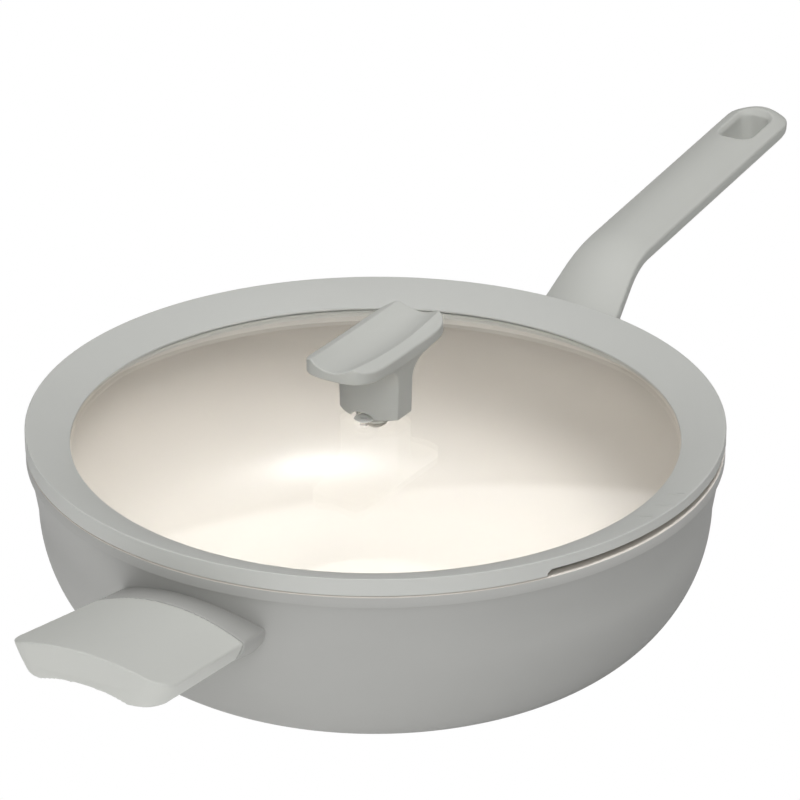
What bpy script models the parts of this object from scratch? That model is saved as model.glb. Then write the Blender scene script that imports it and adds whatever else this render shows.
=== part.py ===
"""Covered frying wok: a cast pan with a long handle and a helper handle, and a glass lid in a soft rim.

The origin is the centre of the base's underside. +X runs along the long handle, the helper handle is at -X,
the lid's pour slot faces -Y, and +Z is up. Every length is in metres.
"""

from math import asin, cos, pi, radians, sin, sqrt, tan

import bmesh
import bpy
from mathutils import Matrix, Vector

MM = 0.001

# How far a cutter reaches past the face that it opens
PAST = 1.0 * MM

# Fits
CLEAR = 0.3 * MM
PLUG_CLEARANCE = 0.9 * MM

# Turned pieces: facets round the axis, and points on a quarter of a curve
TURN_STEPS = 64
CURVE_POINTS = 6
SMALL_STEPS = 20

# Pan
PAN_HEIGHT = 87.4 * MM
LIP_RADIUS = 147.0 * MM
LIP_WIDTH = 5.0 * MM
LIP_ROUND = 0.8 * MM
BAND_HEIGHT = 5.2 * MM
BAND_STEP = 0.6 * MM
SHOULDER_HEIGHT = 61.2 * MM
WALL_LEAN = 3.3 * MM
CORNER_REACH = 57.0 * MM
CORNER_SINK = 1.4 * MM
BASE_ROUND = 3.0 * MM
WALL_THICKNESS = 4.0 * MM
FLOOR_THICKNESS = 5.0 * MM
PLATE_RADIUS = 88.0 * MM
PLATE_THICKNESS = 1.0 * MM
PLATE_RIB_SPACING = 14.0 * MM
PLATE_GROOVE = 0.35 * MM

# Lid rim, a soft ring that grips the glass, sits on the pan's lip and plugs into its mouth
RIM_OVERHANG = 1.0 * MM
SKIRT_HEIGHT = 7.8 * MM
RIM_WIDTH = 18.9 * MM
RIM_FALL = 6.9 * MM
RIM_ROUND = 1.0 * MM
RIM_LIP = 1.0 * MM
PLUG_DEPTH = 9.5 * MM
PLUG_FOOT_WIDTH = 5.0 * MM
GRIP_DEPTH = 7.9 * MM
GRIP_LOWER_INSET = 2.4 * MM
SLOT_ANGLE = radians(58)
SLOT_BEARING = radians(-90)
SLOT_HEIGHT = 2.6 * MM
SLOT_END_ROUND = 1.6 * MM
CHANNEL_WEB = 1.2 * MM

# Lid glass
GLASS_THICKNESS = 4.0 * MM
DOME_RISE = 10.6 * MM
KNOB_HOLE_RADIUS = 3.2 * MM

# Steam vent
VENT_OFFSET = 8.8 * MM
VENT_BORE_RADIUS = 2.3 * MM
VENT_WALL = 0.5 * MM
VENT_FLANGE_WIDTH = 1.0 * MM
VENT_FLANGE_THICKNESS = 0.6 * MM
VENT_FLARE_WIDTH = 0.4 * MM

# Knob: a bar with a finger trough, on a barrel-shaped foot
KNOB_HEIGHT = 34.4 * MM
KNOB_LENGTH = 72.6 * MM
KNOB_WIDTH = 33.2 * MM
KNOB_END_FULLNESS = 7.2
KNOB_SIDE_FULLNESS = 3.0
KNOB_END_LIFT = 1.7 * MM
KNOB_SIDE_HEIGHT = 5.2 * MM
KNOB_SHOULDER_FALL = 2.1 * MM
KNOB_EDGE = 1.0 * MM
KNOB_BELLY = 1.2 * MM
KNOB_TIP_HALF_WIDTH = 1.5 * MM
TROUGH_WIDTH = 23.4 * MM
TROUGH_TAPER = 3.6 * MM
TROUGH_DEPTH = 3.3 * MM
FOOT_WIDTH = 28.8 * MM
FOOT_LENGTH = 23.2 * MM
FOOT_FLAT = 10.8 * MM
FOOT_DRAFT = 0.8 * MM
FOOT_SIDE_FLARE = 1.4 * MM
FOOT_END_FLARE = 11.0 * MM
FOOT_FLARE_HEIGHT = 10.0 * MM
NOTCH_WIDTH = 11.0 * MM
NOTCH_HEIGHT = 2.8 * MM
NOTCH_WALL = 1.1 * MM
GASKET_RADIUS = 8.3 * MM
GASKET_THICKNESS = 1.4 * MM

# Knob fastening, from under the glass
KNOB_SCREW_RADIUS = 2.0 * MM
KNOB_SCREW_GRIP = 9.0 * MM
KNOB_SCREW_HEAD_RADIUS = 4.6 * MM
KNOB_SCREW_HEAD_HEIGHT = 2.4 * MM
INSERT_WALL = 1.0 * MM
INSERT_LENGTH = 11.0 * MM
WASHER_RADIUS = 5.1 * MM
SEAL_WASHER_THICKNESS = 1.0 * MM
STEEL_WASHER_THICKNESS = 0.8 * MM

# Long handle: its top line rises from the wall, bends up, and bends again into the grip
NECK_HEIGHT = 63.0 * MM
NECK_LENGTH = 13.5 * MM
NECK_SLOPE = radians(13.3)
RAMP_LENGTH = 53.6 * MM
RAMP_SLOPE = radians(35.1)
GRIP_SLOPE = radians(6.1)
GRIP_EASE = 8.0 * MM
GRIP_LENGTH = 155.0 * MM
LOWER_BEND_RADIUS = 25.0 * MM
UPPER_BEND_RADIUS = 50.0 * MM
ROOT_WIDTH = 41.0 * MM
GRIP_WIDTH = 30.6 * MM
ROOT_THICKNESS = 13.0 * MM
GRIP_THICKNESS = 11.0 * MM
SIDE_HEIGHT = 4.0 * MM
SIDE_EDGE = 1.2 * MM
SIDE_DRAFT = 0.3 * MM
TOP_CROWN = 3.6 * MM
TIP_ROUND = 13.0 * MM
HANG_HOLE_LENGTH = 25.4 * MM
HANG_HOLE_WIDTH = 14.6 * MM
HANG_HOLE_ROUND = 5.0 * MM
HANG_HOLE_MARGIN = 9.4 * MM
HANG_HOLE_BEVEL = 2.3 * MM
TONGUE_WIDTH = 22.0 * MM
TONGUE_THICKNESS = 3.4 * MM
TONGUE_LENGTH = 36.0 * MM
TONGUE_DEPTH = 3.4 * MM
HANDLE_SCREW_AT = 24.0 * MM

# Helper handle: a neck on the wall, and a broad grip with a hollow under it for the fingers
HELPER_NECK_LENGTH = 13.0 * MM
HELPER_LENGTH = 61.0 * MM
HELPER_ROOT_WIDTH = 70.6 * MM
HELPER_END_WIDTH = 77.2 * MM
HELPER_ROOT_TOP = 77.2 * MM
HELPER_END_TOP = 83.2 * MM
HELPER_ROOT_CROWN = 7.9 * MM
HELPER_END_CROWN = 6.7 * MM
HELPER_ROOT_BOTTOM = 60.4 * MM
HELPER_END_BOTTOM = 65.1 * MM
HELPER_FINGER_HOLLOW = 3.5 * MM
HELPER_ROOT_TUCK = 4.0 * MM
HELPER_END_TUCK = 7.0 * MM
HELPER_CORNER_ROUND = 11.0 * MM
HELPER_EDGE = 0.8 * MM
HELPER_END_BOW = 0.8 * MM
HELPER_GUSSET = 48.0 * MM
HELPER_GUSSET_TUCK = 17.0 * MM
HELPER_TONGUE_WIDTH = 40.0 * MM
HELPER_TONGUE_THICKNESS = 3.4 * MM
HELPER_TONGUE_LENGTH = 36.0 * MM
HELPER_TONGUE_BOTTOM = 69.4 * MM
HELPER_SCREW_AT = 22.0 * MM
HELPER_SCREW_SPACING = 26.0 * MM

# Handle screws
SCREW_RADIUS = 2.4 * MM
SCREW_HEAD_RADIUS = 4.4 * MM
SCREW_HEAD_HEIGHT = 2.2 * MM
SCREW_WEB = 1.8 * MM
HEX_SOCKET_RADIUS = 1.7 * MM
HEX_SOCKET_DEPTH = 1.2 * MM

# Places that follow from the sizes above
WALL_TOP_RADIUS = LIP_RADIUS - BAND_STEP
WALL_FOOT_RADIUS = WALL_TOP_RADIUS - WALL_LEAN
BAND_FOOT = PAN_HEIGHT - BAND_HEIGHT
CORNER_CENTRE = WALL_FOOT_RADIUS - CORNER_REACH
CORNER_DROP = SHOULDER_HEIGHT + CORNER_SINK
MOUTH_RADIUS = LIP_RADIUS - LIP_WIDTH

RIM_SEAT = PAN_HEIGHT + CLEAR
RIM_RADIUS = LIP_RADIUS + RIM_OVERHANG
RIM_TOP = RIM_SEAT + SKIRT_HEIGHT
RIM_INNER_RADIUS = RIM_RADIUS - RIM_WIDTH
RIM_INNER_TOP = RIM_TOP - RIM_FALL
PLUG_RADIUS = MOUTH_RADIUS - PLUG_CLEARANCE
PLUG_FOOT = RIM_SEAT - PLUG_DEPTH

GLASS_RADIUS = RIM_INNER_RADIUS + GRIP_DEPTH
GLASS_EDGE_TOP = RIM_INNER_TOP - RIM_LIP - CLEAR
DOME_RADIUS = (RIM_INNER_RADIUS**2 + DOME_RISE**2) / (2 * DOME_RISE)
DOME_TOP = GLASS_EDGE_TOP + DOME_RISE
DOME_UNDER = DOME_TOP - GLASS_THICKNESS

GASKET_FOOT = DOME_TOP + CLEAR
KNOB_FOOT = GASKET_FOOT + GASKET_THICKNESS + CLEAR
KNOB_TOP = KNOB_FOOT + KNOB_HEIGHT
INSERT_BORE = KNOB_SCREW_RADIUS + CLEAR
INSERT_RADIUS = INSERT_BORE + INSERT_WALL

SCENE = bpy.context.scene


def clear_scene():
    for obj in list(bpy.data.objects):
        bpy.data.objects.remove(obj, do_unlink=True)
    for old in list(bpy.data.collections):
        bpy.data.collections.remove(old)


def new_collection(name):
    made = bpy.data.collections.new(name)
    SCENE.collection.children.link(made)
    return made


clear_scene()
PARTS = new_collection("covered_wok")
CUTTERS = new_collection("cutters")


def material(name, colour, roughness, metallic=0.0, transmission=0.0):
    made = bpy.data.materials.new(name)
    made.use_nodes = True
    shader = made.node_tree.nodes["Principled BSDF"]
    shader.inputs["Base Color"].default_value = (*colour, 1.0)
    shader.inputs["Roughness"].default_value = roughness
    shader.inputs["Metallic"].default_value = metallic
    shader.inputs["Transmission Weight"].default_value = transmission
    return made


def finish(obj, name, look, edge_angle=radians(32)):
    """Names the object, gives it its material and shades it smooth up to its sharp edges."""
    obj.name = name
    obj.data.name = name
    obj.data.materials.clear()
    obj.data.materials.append(look)
    obj.data.shade_smooth()
    obj.data.set_sharp_from_angle(angle=edge_angle)
    return obj


def as_cutter(obj):
    obj.hide_render = True
    obj.display_type = "WIRE"
    PARTS.objects.unlink(obj)
    CUTTERS.objects.link(obj)
    return obj


def boolean(obj, other, operation="DIFFERENCE"):
    modifier = obj.modifiers.new(operation.lower(), "BOOLEAN")
    modifier.operation = operation
    modifier.solver = "EXACT"
    modifier.object = other
    return obj


def cut(obj, cutter):
    return boolean(obj, as_cutter(cutter))


def join(obj, other):
    return boolean(obj, as_cutter(other), "UNION")


def object_from(bm, name):
    bmesh.ops.recalc_face_normals(bm, faces=bm.faces)
    mesh = bpy.data.meshes.new(name)
    bm.to_mesh(mesh)
    bm.free()
    obj = bpy.data.objects.new(name, mesh)
    PARTS.objects.link(obj)
    return obj


def turned(profile, name, closed, steps=TURN_STEPS):
    """A profile of (radius, height) turned round Z. A closed one is a ring, an open one ends on the axis."""
    mesh = bpy.data.meshes.new(name)
    edges = [(i, i + 1) for i in range(len(profile) - 1)]
    if closed:
        edges.append((len(profile) - 1, 0))
    mesh.from_pydata([(r, 0, z) for r, z in profile], edges, [])
    obj = bpy.data.objects.new(name, mesh)
    PARTS.objects.link(obj)
    screw = obj.modifiers.new("turn", "SCREW")
    screw.steps = screw.render_steps = steps
    screw.use_merge_vertices = True
    screw.merge_threshold = 0.00001
    return obj


def baked(obj):
    """The object with its modifiers applied, so that it can be shaded and cut."""
    bpy.context.view_layer.update()
    graph = bpy.context.evaluated_depsgraph_get()
    mesh = bpy.data.meshes.new_from_object(obj.evaluated_get(graph))
    obj.modifiers.clear()
    old, obj.data = obj.data, mesh
    bpy.data.meshes.remove(old)
    return obj


def loft(sections, name):
    """A closed solid through sections with the same number of points."""
    bm = bmesh.new()
    rings = [[bm.verts.new(point) for point in section] for section in sections]
    count = len(rings[0])
    for low, high in zip(rings, rings[1:]):
        for i in range(count):
            j = (i + 1) % count
            bm.faces.new((low[i], low[j], high[j], high[i]))
    bm.faces.new(rings[0][::-1])
    bm.faces.new(rings[-1])
    return object_from(bm, name)


def cylinder(radius, low, high, name, centre=(0, 0), sides=SMALL_STEPS):
    bm = bmesh.new()
    place = Matrix.Translation((centre[0], centre[1], (low + high) / 2))
    bmesh.ops.create_cone(
        bm, cap_ends=True, segments=sides, radius1=radius, radius2=radius, depth=high - low, matrix=place
    )
    return object_from(bm, name)


def box(low, high, name):
    bm = bmesh.new()
    bmesh.ops.create_cube(bm, size=1)
    size = Vector(high) - Vector(low)
    middle = (Vector(high) + Vector(low)) / 2
    bmesh.ops.scale(bm, verts=bm.verts, vec=size)
    bmesh.ops.translate(bm, verts=bm.verts, vec=middle)
    return object_from(bm, name)


def quarter(centre, reach, start, end, count=CURVE_POINTS):
    """Points on an ellipse from one angle to another, the last one included."""
    made = []
    for i in range(1, count + 1):
        angle = start + (end - start) * i / count
        made.append((centre[0] + reach[0] * cos(angle), centre[1] + reach[1] * sin(angle)))
    return made


def rounded_rectangle(length, width, radius, points=4):
    """The outline of a rectangle with round corners, counter-clockwise round the origin."""
    outline = []
    for turn, (sx, sy) in enumerate(((1, 1), (-1, 1), (-1, -1), (1, -1))):
        centre = (sx * (length / 2 - radius), sy * (width / 2 - radius))
        for i in range(points + 1):
            angle = (turn + i / points) * pi / 2
            outline.append((centre[0] + radius * cos(angle), centre[1] + radius * sin(angle)))
    return outline


def ease(value):
    value = min(max(value, 0.0), 1.0)
    return value * value * (3 - 2 * value)


def between(start, end, share):
    return start + (end - start) * share


# Pan


def outer_wall(grow=0.0):
    """The pan's outside, from under its band down to the base, pushed out by grow."""
    cut_angle = -asin(SHOULDER_HEIGHT / CORNER_DROP)
    centre = (CORNER_CENTRE, SHOULDER_HEIGHT)
    reach = (CORNER_REACH + grow, CORNER_DROP + grow)
    wall = [(WALL_TOP_RADIUS + grow, BAND_FOOT - BAND_STEP), (WALL_FOOT_RADIUS + grow, SHOULDER_HEIGHT)]
    curve = quarter(centre, reach, 0, cut_angle * 0.96, CURVE_POINTS + 1)
    return wall + curve


def wall_radius(height):
    """The radius of the pan's outside at a height."""
    line = outer_wall()
    for (r1, z1), (r2, z2) in zip(line, line[1:]):
        if z2 <= height <= z1:
            return between(r1, r2, (z1 - height) / (z1 - z2))
    return line[0][0] if height > line[0][1] else line[-1][0]


def make_pan():
    inner_reach = (CORNER_REACH - WALL_THICKNESS, SHOULDER_HEIGHT - FLOOR_THICKNESS)
    centre = (CORNER_CENTRE, SHOULDER_HEIGHT)
    floor = FLOOR_THICKNESS
    profile = [(0, floor), (CORNER_CENTRE / 2, floor), (CORNER_CENTRE, floor)]
    profile += quarter(centre, inner_reach, -pi / 2, 0)
    profile.append((MOUTH_RADIUS, BAND_FOOT))
    lip_centre = (MOUTH_RADIUS + 2 * LIP_ROUND, PAN_HEIGHT - 2 * LIP_ROUND)
    profile += quarter(lip_centre, (2 * LIP_ROUND, 2 * LIP_ROUND), pi, pi / 2, 3)
    edge_centre = (LIP_RADIUS - LIP_ROUND, PAN_HEIGHT - LIP_ROUND)
    profile.append((edge_centre[0], PAN_HEIGHT))
    profile += quarter(edge_centre, (LIP_ROUND, LIP_ROUND), pi / 2, 0, 3)
    profile.append((LIP_RADIUS, BAND_FOOT))
    profile += outer_wall()
    low_r, low_z = profile[-1]
    profile.append((low_r - BASE_ROUND * 0.45, low_z * 0.28))
    profile.append((low_r - BASE_ROUND, 0))
    recess = PLATE_RADIUS + CLEAR
    profile.append((recess, 0))
    profile.append((recess, PLATE_THICKNESS + CLEAR))
    profile.append((0, PLATE_THICKNESS + CLEAR))
    pan = baked(turned(profile, "pan_body", closed=False))
    return finish(pan, "pan_body", LOOKS["coat"], radians(40))


def make_plate():
    """The magnetic disc in the base, with rings pressed into its underside."""
    profile = [(0, PLATE_THICKNESS), (PLATE_RADIUS, PLATE_THICKNESS), (PLATE_RADIUS, 0)]
    ring = PLATE_RADIUS - PLATE_RIB_SPACING
    while ring > PLATE_RIB_SPACING:
        half = PLATE_RIB_SPACING / 8
        profile += [(ring + half, 0), (ring, PLATE_GROOVE), (ring - half, 0)]
        ring -= 2 * PLATE_RIB_SPACING
    profile.append((0, 0))
    plate = baked(turned(profile, "induction_plate", closed=False, steps=TURN_STEPS))
    return finish(plate, "induction_plate", LOOKS["steel"])


def wall_cutter():
    """Everything inside the pan's outside, with the clearance of a piece that seats on it."""
    line = outer_wall(CLEAR)
    band = LIP_RADIUS + CLEAR
    profile = [(0, RIM_TOP), (band, RIM_TOP), (band, BAND_FOOT - CLEAR)] + line + [(0, line[-1][1])]
    return baked(turned(profile, "wall_cutter", closed=False))


# Lid


def dome(radius):
    """The height of the glass's upper face."""
    return DOME_TOP - (DOME_RADIUS - sqrt(DOME_RADIUS**2 - radius**2))


def make_rim():
    grip_low = RIM_INNER_RADIUS + GRIP_LOWER_INSET
    groove = GLASS_RADIUS + CLEAR
    middle = (grip_low + groove) / 2
    under = GLASS_THICKNESS + CLEAR
    edge = (RIM_RADIUS - RIM_ROUND, RIM_TOP - RIM_ROUND)
    profile = [(RIM_INNER_RADIUS, RIM_INNER_TOP)]
    profile.append((edge[0] - RIM_ROUND, RIM_TOP - RIM_ROUND * 0.25))
    profile += quarter(edge, (RIM_ROUND, RIM_ROUND * 0.9), pi / 2, 0, 3)
    profile.append((RIM_RADIUS, RIM_SEAT))
    profile.append((PLUG_RADIUS, RIM_SEAT))
    profile.append((PLUG_RADIUS - RIM_ROUND * 0.4, PLUG_FOOT + RIM_ROUND))
    profile.append((PLUG_RADIUS - RIM_ROUND, PLUG_FOOT))
    plug_inner = PLUG_RADIUS - PLUG_FOOT_WIDTH
    profile.append((plug_inner, PLUG_FOOT))
    profile.append((plug_inner - RIM_ROUND * 0.7, PLUG_FOOT + RIM_ROUND * 0.5))
    profile.append((grip_low, dome(grip_low) - under - RIM_LIP))
    profile.append((grip_low, dome(grip_low) - under))
    profile.append((middle, dome(middle) - under))
    profile.append((groove, dome(groove) - under))
    profile.append((groove, dome(groove) + CLEAR))
    profile.append((middle, dome(middle) + CLEAR))
    profile.append((RIM_INNER_RADIUS, dome(RIM_INNER_RADIUS) + CLEAR))
    rim = baked(turned(profile, "lid_rim", closed=True))
    cut(rim, slot_cutter())
    return finish(rim, "lid_rim", LOOKS["silicone"], radians(25))


def slot_cutter():
    """The pour slot: a window in the skirt, and behind it a channel down the outside of the plug."""
    channel = GLASS_RADIUS + CLEAR + CHANNEL_WEB
    top = RIM_SEAT + SLOT_HEIGHT
    low = PLUG_FOOT - PAST
    past = RIM_RADIUS + PAST
    steps = round(TURN_STEPS * SLOT_ANGLE / (2 * pi)) * 2
    sections = []
    for i in range(steps + 1):
        share = i / steps
        angle = SLOT_BEARING + SLOT_ANGLE * (share - 0.5)
        from_end = min(share, 1 - share) * SLOT_ANGLE * RIM_RADIUS
        rounding = max(0.0, 1 - from_end / SLOT_END_ROUND)
        crest = top - SLOT_END_ROUND * (1 - sqrt(1 - rounding**2))
        corners = ((channel, low), (past, low), (past, crest), (channel, crest))
        sections.append([(r * cos(angle), r * sin(angle), z) for r, z in corners])
    return loft(sections, "slot_cutter")


def make_glass():
    edge = GLASS_THICKNESS / 3
    rings = [KNOB_HOLE_RADIUS]
    rings += [between(KNOB_HOLE_RADIUS, GLASS_RADIUS - edge, i / 5) for i in range(1, 6)]
    upper = [(r, dome(r)) for r in rings]
    lower = [(r, dome(r) - GLASS_THICKNESS) for r in reversed(rings)]
    rim_top = dome(GLASS_RADIUS)
    side = [(GLASS_RADIUS, rim_top - edge), (GLASS_RADIUS, rim_top - GLASS_THICKNESS + edge)]
    glass = baked(turned(upper + side + lower, "lid_glass", closed=True))
    hole = VENT_BORE_RADIUS + VENT_WALL + CLEAR
    low = DOME_UNDER - GLASS_THICKNESS
    cut(glass, cylinder(hole, low, DOME_TOP + GLASS_THICKNESS, "vent_hole_cutter", (-VENT_OFFSET, 0)))
    return finish(glass, "lid_glass", LOOKS["glass"])


def make_vent():
    """The steel eyelet in the glass, flared over it on both sides."""
    top = dome(VENT_OFFSET + VENT_BORE_RADIUS) + CLEAR * 1.5
    under = dome(VENT_OFFSET + VENT_BORE_RADIUS) - GLASS_THICKNESS - CLEAR
    barrel = VENT_BORE_RADIUS + VENT_WALL
    flange = barrel + VENT_FLANGE_WIDTH
    flare = barrel + VENT_FLARE_WIDTH
    profile = [
        (VENT_BORE_RADIUS, top + VENT_FLANGE_THICKNESS * 0.6),
        (VENT_BORE_RADIUS + VENT_WALL, top + VENT_FLANGE_THICKNESS),
        (flange - VENT_WALL, top + VENT_FLANGE_THICKNESS * 0.8),
        (flange, top),
        (barrel, top),
        (barrel, under),
        (flare, under),
        (flare, under - VENT_WALL),
        (VENT_BORE_RADIUS, under - VENT_WALL),
    ]
    vent = baked(turned(profile, "vent_eyelet", closed=True, steps=SMALL_STEPS))
    vent.data.transform(Matrix.Translation((-VENT_OFFSET, 0, 0)))
    return finish(vent, "vent_eyelet", LOOKS["steel"])


# Knob


def foot_outline(grow=0.0, lengthen=0.0, points=6):
    """The foot seen from above: flat sides along the bar, and ends that swell out."""
    half_width = FOOT_WIDTH / 2 + grow
    half_flat = FOOT_FLAT / 2
    swell = (FOOT_LENGTH - FOOT_FLAT) / 2 + grow
    radius = (half_width**2 + swell**2) / (2 * swell)
    sweep = asin(half_width / radius)
    outline = []
    for side in (1, -1):
        for i in range(points + 1):
            angle = between(-sweep, sweep, i / points)
            along = half_flat + swell - radius + radius * cos(angle) + lengthen
            outline.append((side * along, side * radius * sin(angle)))
    return outline


def bar_half_width(along):
    """Half the bar's width: nearly straight sides, and ends that are full but bowed."""
    reach = min(abs(along) / (KNOB_LENGTH / 2), 1.0)
    return KNOB_WIDTH / 2 * (1 - reach**KNOB_END_FULLNESS) ** (1 / KNOB_SIDE_FULLNESS)


def bar_section(along):
    """One slice across the bar: the trough, its crests, the shoulders, the sides and the rounded belly."""
    reach = min(abs(along) / (KNOB_LENGTH / 2), 1.0)
    half = max(bar_half_width(along), KNOB_TIP_HALF_WIDTH)
    crest = KNOB_TOP - KNOB_END_LIFT * (1 - reach**2)
    crest_at = TROUGH_WIDTH / 2 - TROUGH_TAPER / 2 * reach**2
    shoulder = KNOB_WIDTH / 2 - TROUGH_WIDTH / 2

    def top(across):
        if across < crest_at:
            return crest - TROUGH_DEPTH * (1 - (across / crest_at) ** 2)
        return crest - KNOB_SHOULDER_FALL * ((across - crest_at) / shoulder) ** 1.3

    inner = min(crest_at, half - KNOB_EDGE)
    side_foot = crest - KNOB_SHOULDER_FALL - KNOB_SIDE_HEIGHT
    right = [(share * inner, top(share * inner)) for share in (0.2, 0.6, 0.85, 1)]
    middle = between(inner, half, 0.45)
    right += [(middle, top(middle)), (half - 0.3 * KNOB_EDGE, top(half) + 0.2 * KNOB_EDGE)]
    right += [(half, top(half) - 0.6 * KNOB_EDGE), (half, side_foot + 0.6 * KNOB_EDGE)]
    right += [(half - 0.6 * KNOB_EDGE, side_foot), (half * 0.4, side_foot - KNOB_BELLY * (1 - reach**2))]
    ring = right + [(-y, z) for y, z in reversed(right)]
    return [(along, y, z) for y, z in ring]


def make_knob():
    one_way = [KNOB_LENGTH / 2 * sin(radians(angle)) for angle in (17, 36, 52, 62, 69, 75, 80, 84, 87, 90)]
    stations = [-along for along in reversed(one_way)] + [0.0] + one_way
    bar = loft([bar_section(along) for along in stations], "knob_bar")
    top = KNOB_TOP - KNOB_END_LIFT - TROUGH_DEPTH - KNOB_EDGE
    belly = KNOB_TOP - KNOB_END_LIFT - KNOB_SHOULDER_FALL - KNOB_SIDE_HEIGHT
    flare_foot = belly - FOOT_FLARE_HEIGHT
    sections = []
    for rise in (None, 0, 0.35, 0.6, 0.8, 0.93, 1):
        height = KNOB_FOOT if rise is None else flare_foot + rise * FOOT_FLARE_HEIGHT
        share = (height - KNOB_FOOT) / (belly - KNOB_FOOT)
        spread = 0.0 if rise is None else 1 - sqrt(1 - rise**2)
        outline = foot_outline(FOOT_DRAFT * share + FOOT_SIDE_FLARE * spread, FOOT_END_FLARE * spread)
        sections.append([(x, y, height) for x, y in outline])
    outline = foot_outline(FOOT_DRAFT + FOOT_SIDE_FLARE - KNOB_EDGE / 2, FOOT_END_FLARE)
    sections.append([(x, y, top) for x, y in outline])
    knob = loft(sections, "lid_knob")
    join(knob, bar)
    socket_top = KNOB_FOOT + INSERT_LENGTH + 2 * CLEAR
    cut(knob, cylinder(INSERT_RADIUS + CLEAR, KNOB_FOOT - PAST, socket_top, "insert_cutter"))
    cut(knob, notch_cutter(KNOB_FOOT))
    return finish(knob, "lid_knob", LOOKS["soft_grey"], radians(28))


def notch_cutter(foot):
    """The arch at the foot's end that lets steam out of the vent."""
    arch = []
    for i in range(9):
        angle = pi * i / 8
        arch.append((NOTCH_WIDTH / 2 * cos(angle), foot + NOTCH_HEIGHT * sin(angle)))
    arch += [(-NOTCH_WIDTH / 2, foot - PAST), (NOTCH_WIDTH / 2, foot - PAST)]
    inner = -(INSERT_RADIUS + CLEAR + NOTCH_WALL)
    outer = -(FOOT_LENGTH / 2 + NOTCH_HEIGHT)
    return loft([[(x, y, z) for y, z in arch] for x in (outer, inner)], "notch_cutter")


def make_gasket():
    """The soft ring between the foot and the glass, open at the steam vent."""
    high = GASKET_FOOT + GASKET_THICKNESS
    gasket = cylinder(GASKET_RADIUS, GASKET_FOOT, high, "knob_gasket", sides=2 * SMALL_STEPS)
    hole = KNOB_SCREW_RADIUS + 2 * CLEAR
    cut(gasket, cylinder(hole, GASKET_FOOT - PAST, KNOB_FOOT + PAST, "gasket_hole_cutter"))
    inner = -(INSERT_RADIUS + CLEAR)
    low = (-FOOT_LENGTH, -NOTCH_WIDTH / 2, GASKET_FOOT - PAST)
    cut(gasket, box(low, (inner, NOTCH_WIDTH / 2, KNOB_FOOT + PAST), "gasket_notch_cutter"))
    return finish(gasket, "knob_gasket", LOOKS["seal"])


def ring(name, inner, outer, low, high, look, steps=SMALL_STEPS):
    profile = [(inner, high), (outer, high), (outer, low), (inner, low)]
    return finish(baked(turned(profile, name, closed=True, steps=steps)), name, look)


def make_knob_fastening():
    ring("knob_insert", INSERT_BORE, INSERT_RADIUS, KNOB_FOOT, KNOB_FOOT + INSERT_LENGTH, LOOKS["brass"])
    seal_top = DOME_UNDER - CLEAR
    seal_low = seal_top - SEAL_WASHER_THICKNESS
    hole = KNOB_SCREW_RADIUS + CLEAR
    ring("knob_seal_washer", hole, WASHER_RADIUS, seal_low, seal_top, LOOKS["seal"])
    steel_top = seal_low - CLEAR
    steel_low = steel_top - STEEL_WASHER_THICKNESS
    ring("knob_steel_washer", hole, WASHER_RADIUS, steel_low, steel_top, LOOKS["steel"])
    head_top = steel_low - CLEAR
    tip = KNOB_FOOT + KNOB_SCREW_GRIP
    screw("knob_screw", head_top, tip, KNOB_SCREW_RADIUS, KNOB_SCREW_HEAD_RADIUS, KNOB_SCREW_HEAD_HEIGHT)


def screw(name, seat, tip, radius, head_radius, head_height):
    """A screw that points up, with its head under its seat and a hexagon socket in the head."""
    low = seat - head_height
    chamfer = radius * 0.3
    profile = [
        (0, tip),
        (radius - chamfer, tip),
        (radius, tip - chamfer),
        (radius, seat),
        (head_radius, seat),
        (head_radius, low + head_height * 0.35),
        (head_radius * 0.8, low),
        (0, low),
    ]
    made = baked(turned(profile, name, closed=False, steps=SMALL_STEPS))
    socket_top = low + HEX_SOCKET_DEPTH
    cut(made, cylinder(HEX_SOCKET_RADIUS, low - PAST, socket_top, name + "_socket_cutter", sides=6))
    return finish(made, name, LOOKS["steel"])


# Long handle


def handle_line():
    """The top line in the XZ plane as a fine list of (distance, x, z, slope), with its bends as arcs."""
    start = Vector((wall_radius(NECK_HEIGHT), NECK_HEIGHT))
    runs = ((NECK_LENGTH, NECK_SLOPE), (RAMP_LENGTH, RAMP_SLOPE), (GRIP_LENGTH, GRIP_SLOPE))
    bends = (LOWER_BEND_RADIUS, UPPER_BEND_RADIUS, 0)
    line = [(0.0, start.x, start.y, NECK_SLOPE)]
    trimmed = 0.0
    for i, (length, slope) in enumerate(runs):
        turn = runs[i + 1][1] - slope if i + 1 < len(runs) else 0.0
        tangent = bends[i] * tan(abs(turn) / 2)
        distance, x, z, _ = line[-1]
        straight = length - trimmed - tangent
        x, z, distance = x + straight * cos(slope), z + straight * sin(slope), distance + straight
        line.append((distance, x, z, slope))
        pieces = 6
        for k in range(1, pieces + 1 if turn else 1):
            angle = slope + turn * k / pieces
            middle = slope + turn * (k - 0.5) / pieces
            step = bends[i] * abs(turn) / pieces
            x, z, distance = x + step * cos(middle), z + step * sin(middle), distance + step
            line.append((distance, x, z, angle))
        trimmed = tangent
    return line


HANDLE_LINE = handle_line()
HANDLE_LENGTH = HANDLE_LINE[-1][0]
NECK_END = NECK_LENGTH
BEND_END = NECK_LENGTH + RAMP_LENGTH + UPPER_BEND_RADIUS * tan((RAMP_SLOPE - GRIP_SLOPE) / 2)


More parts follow.
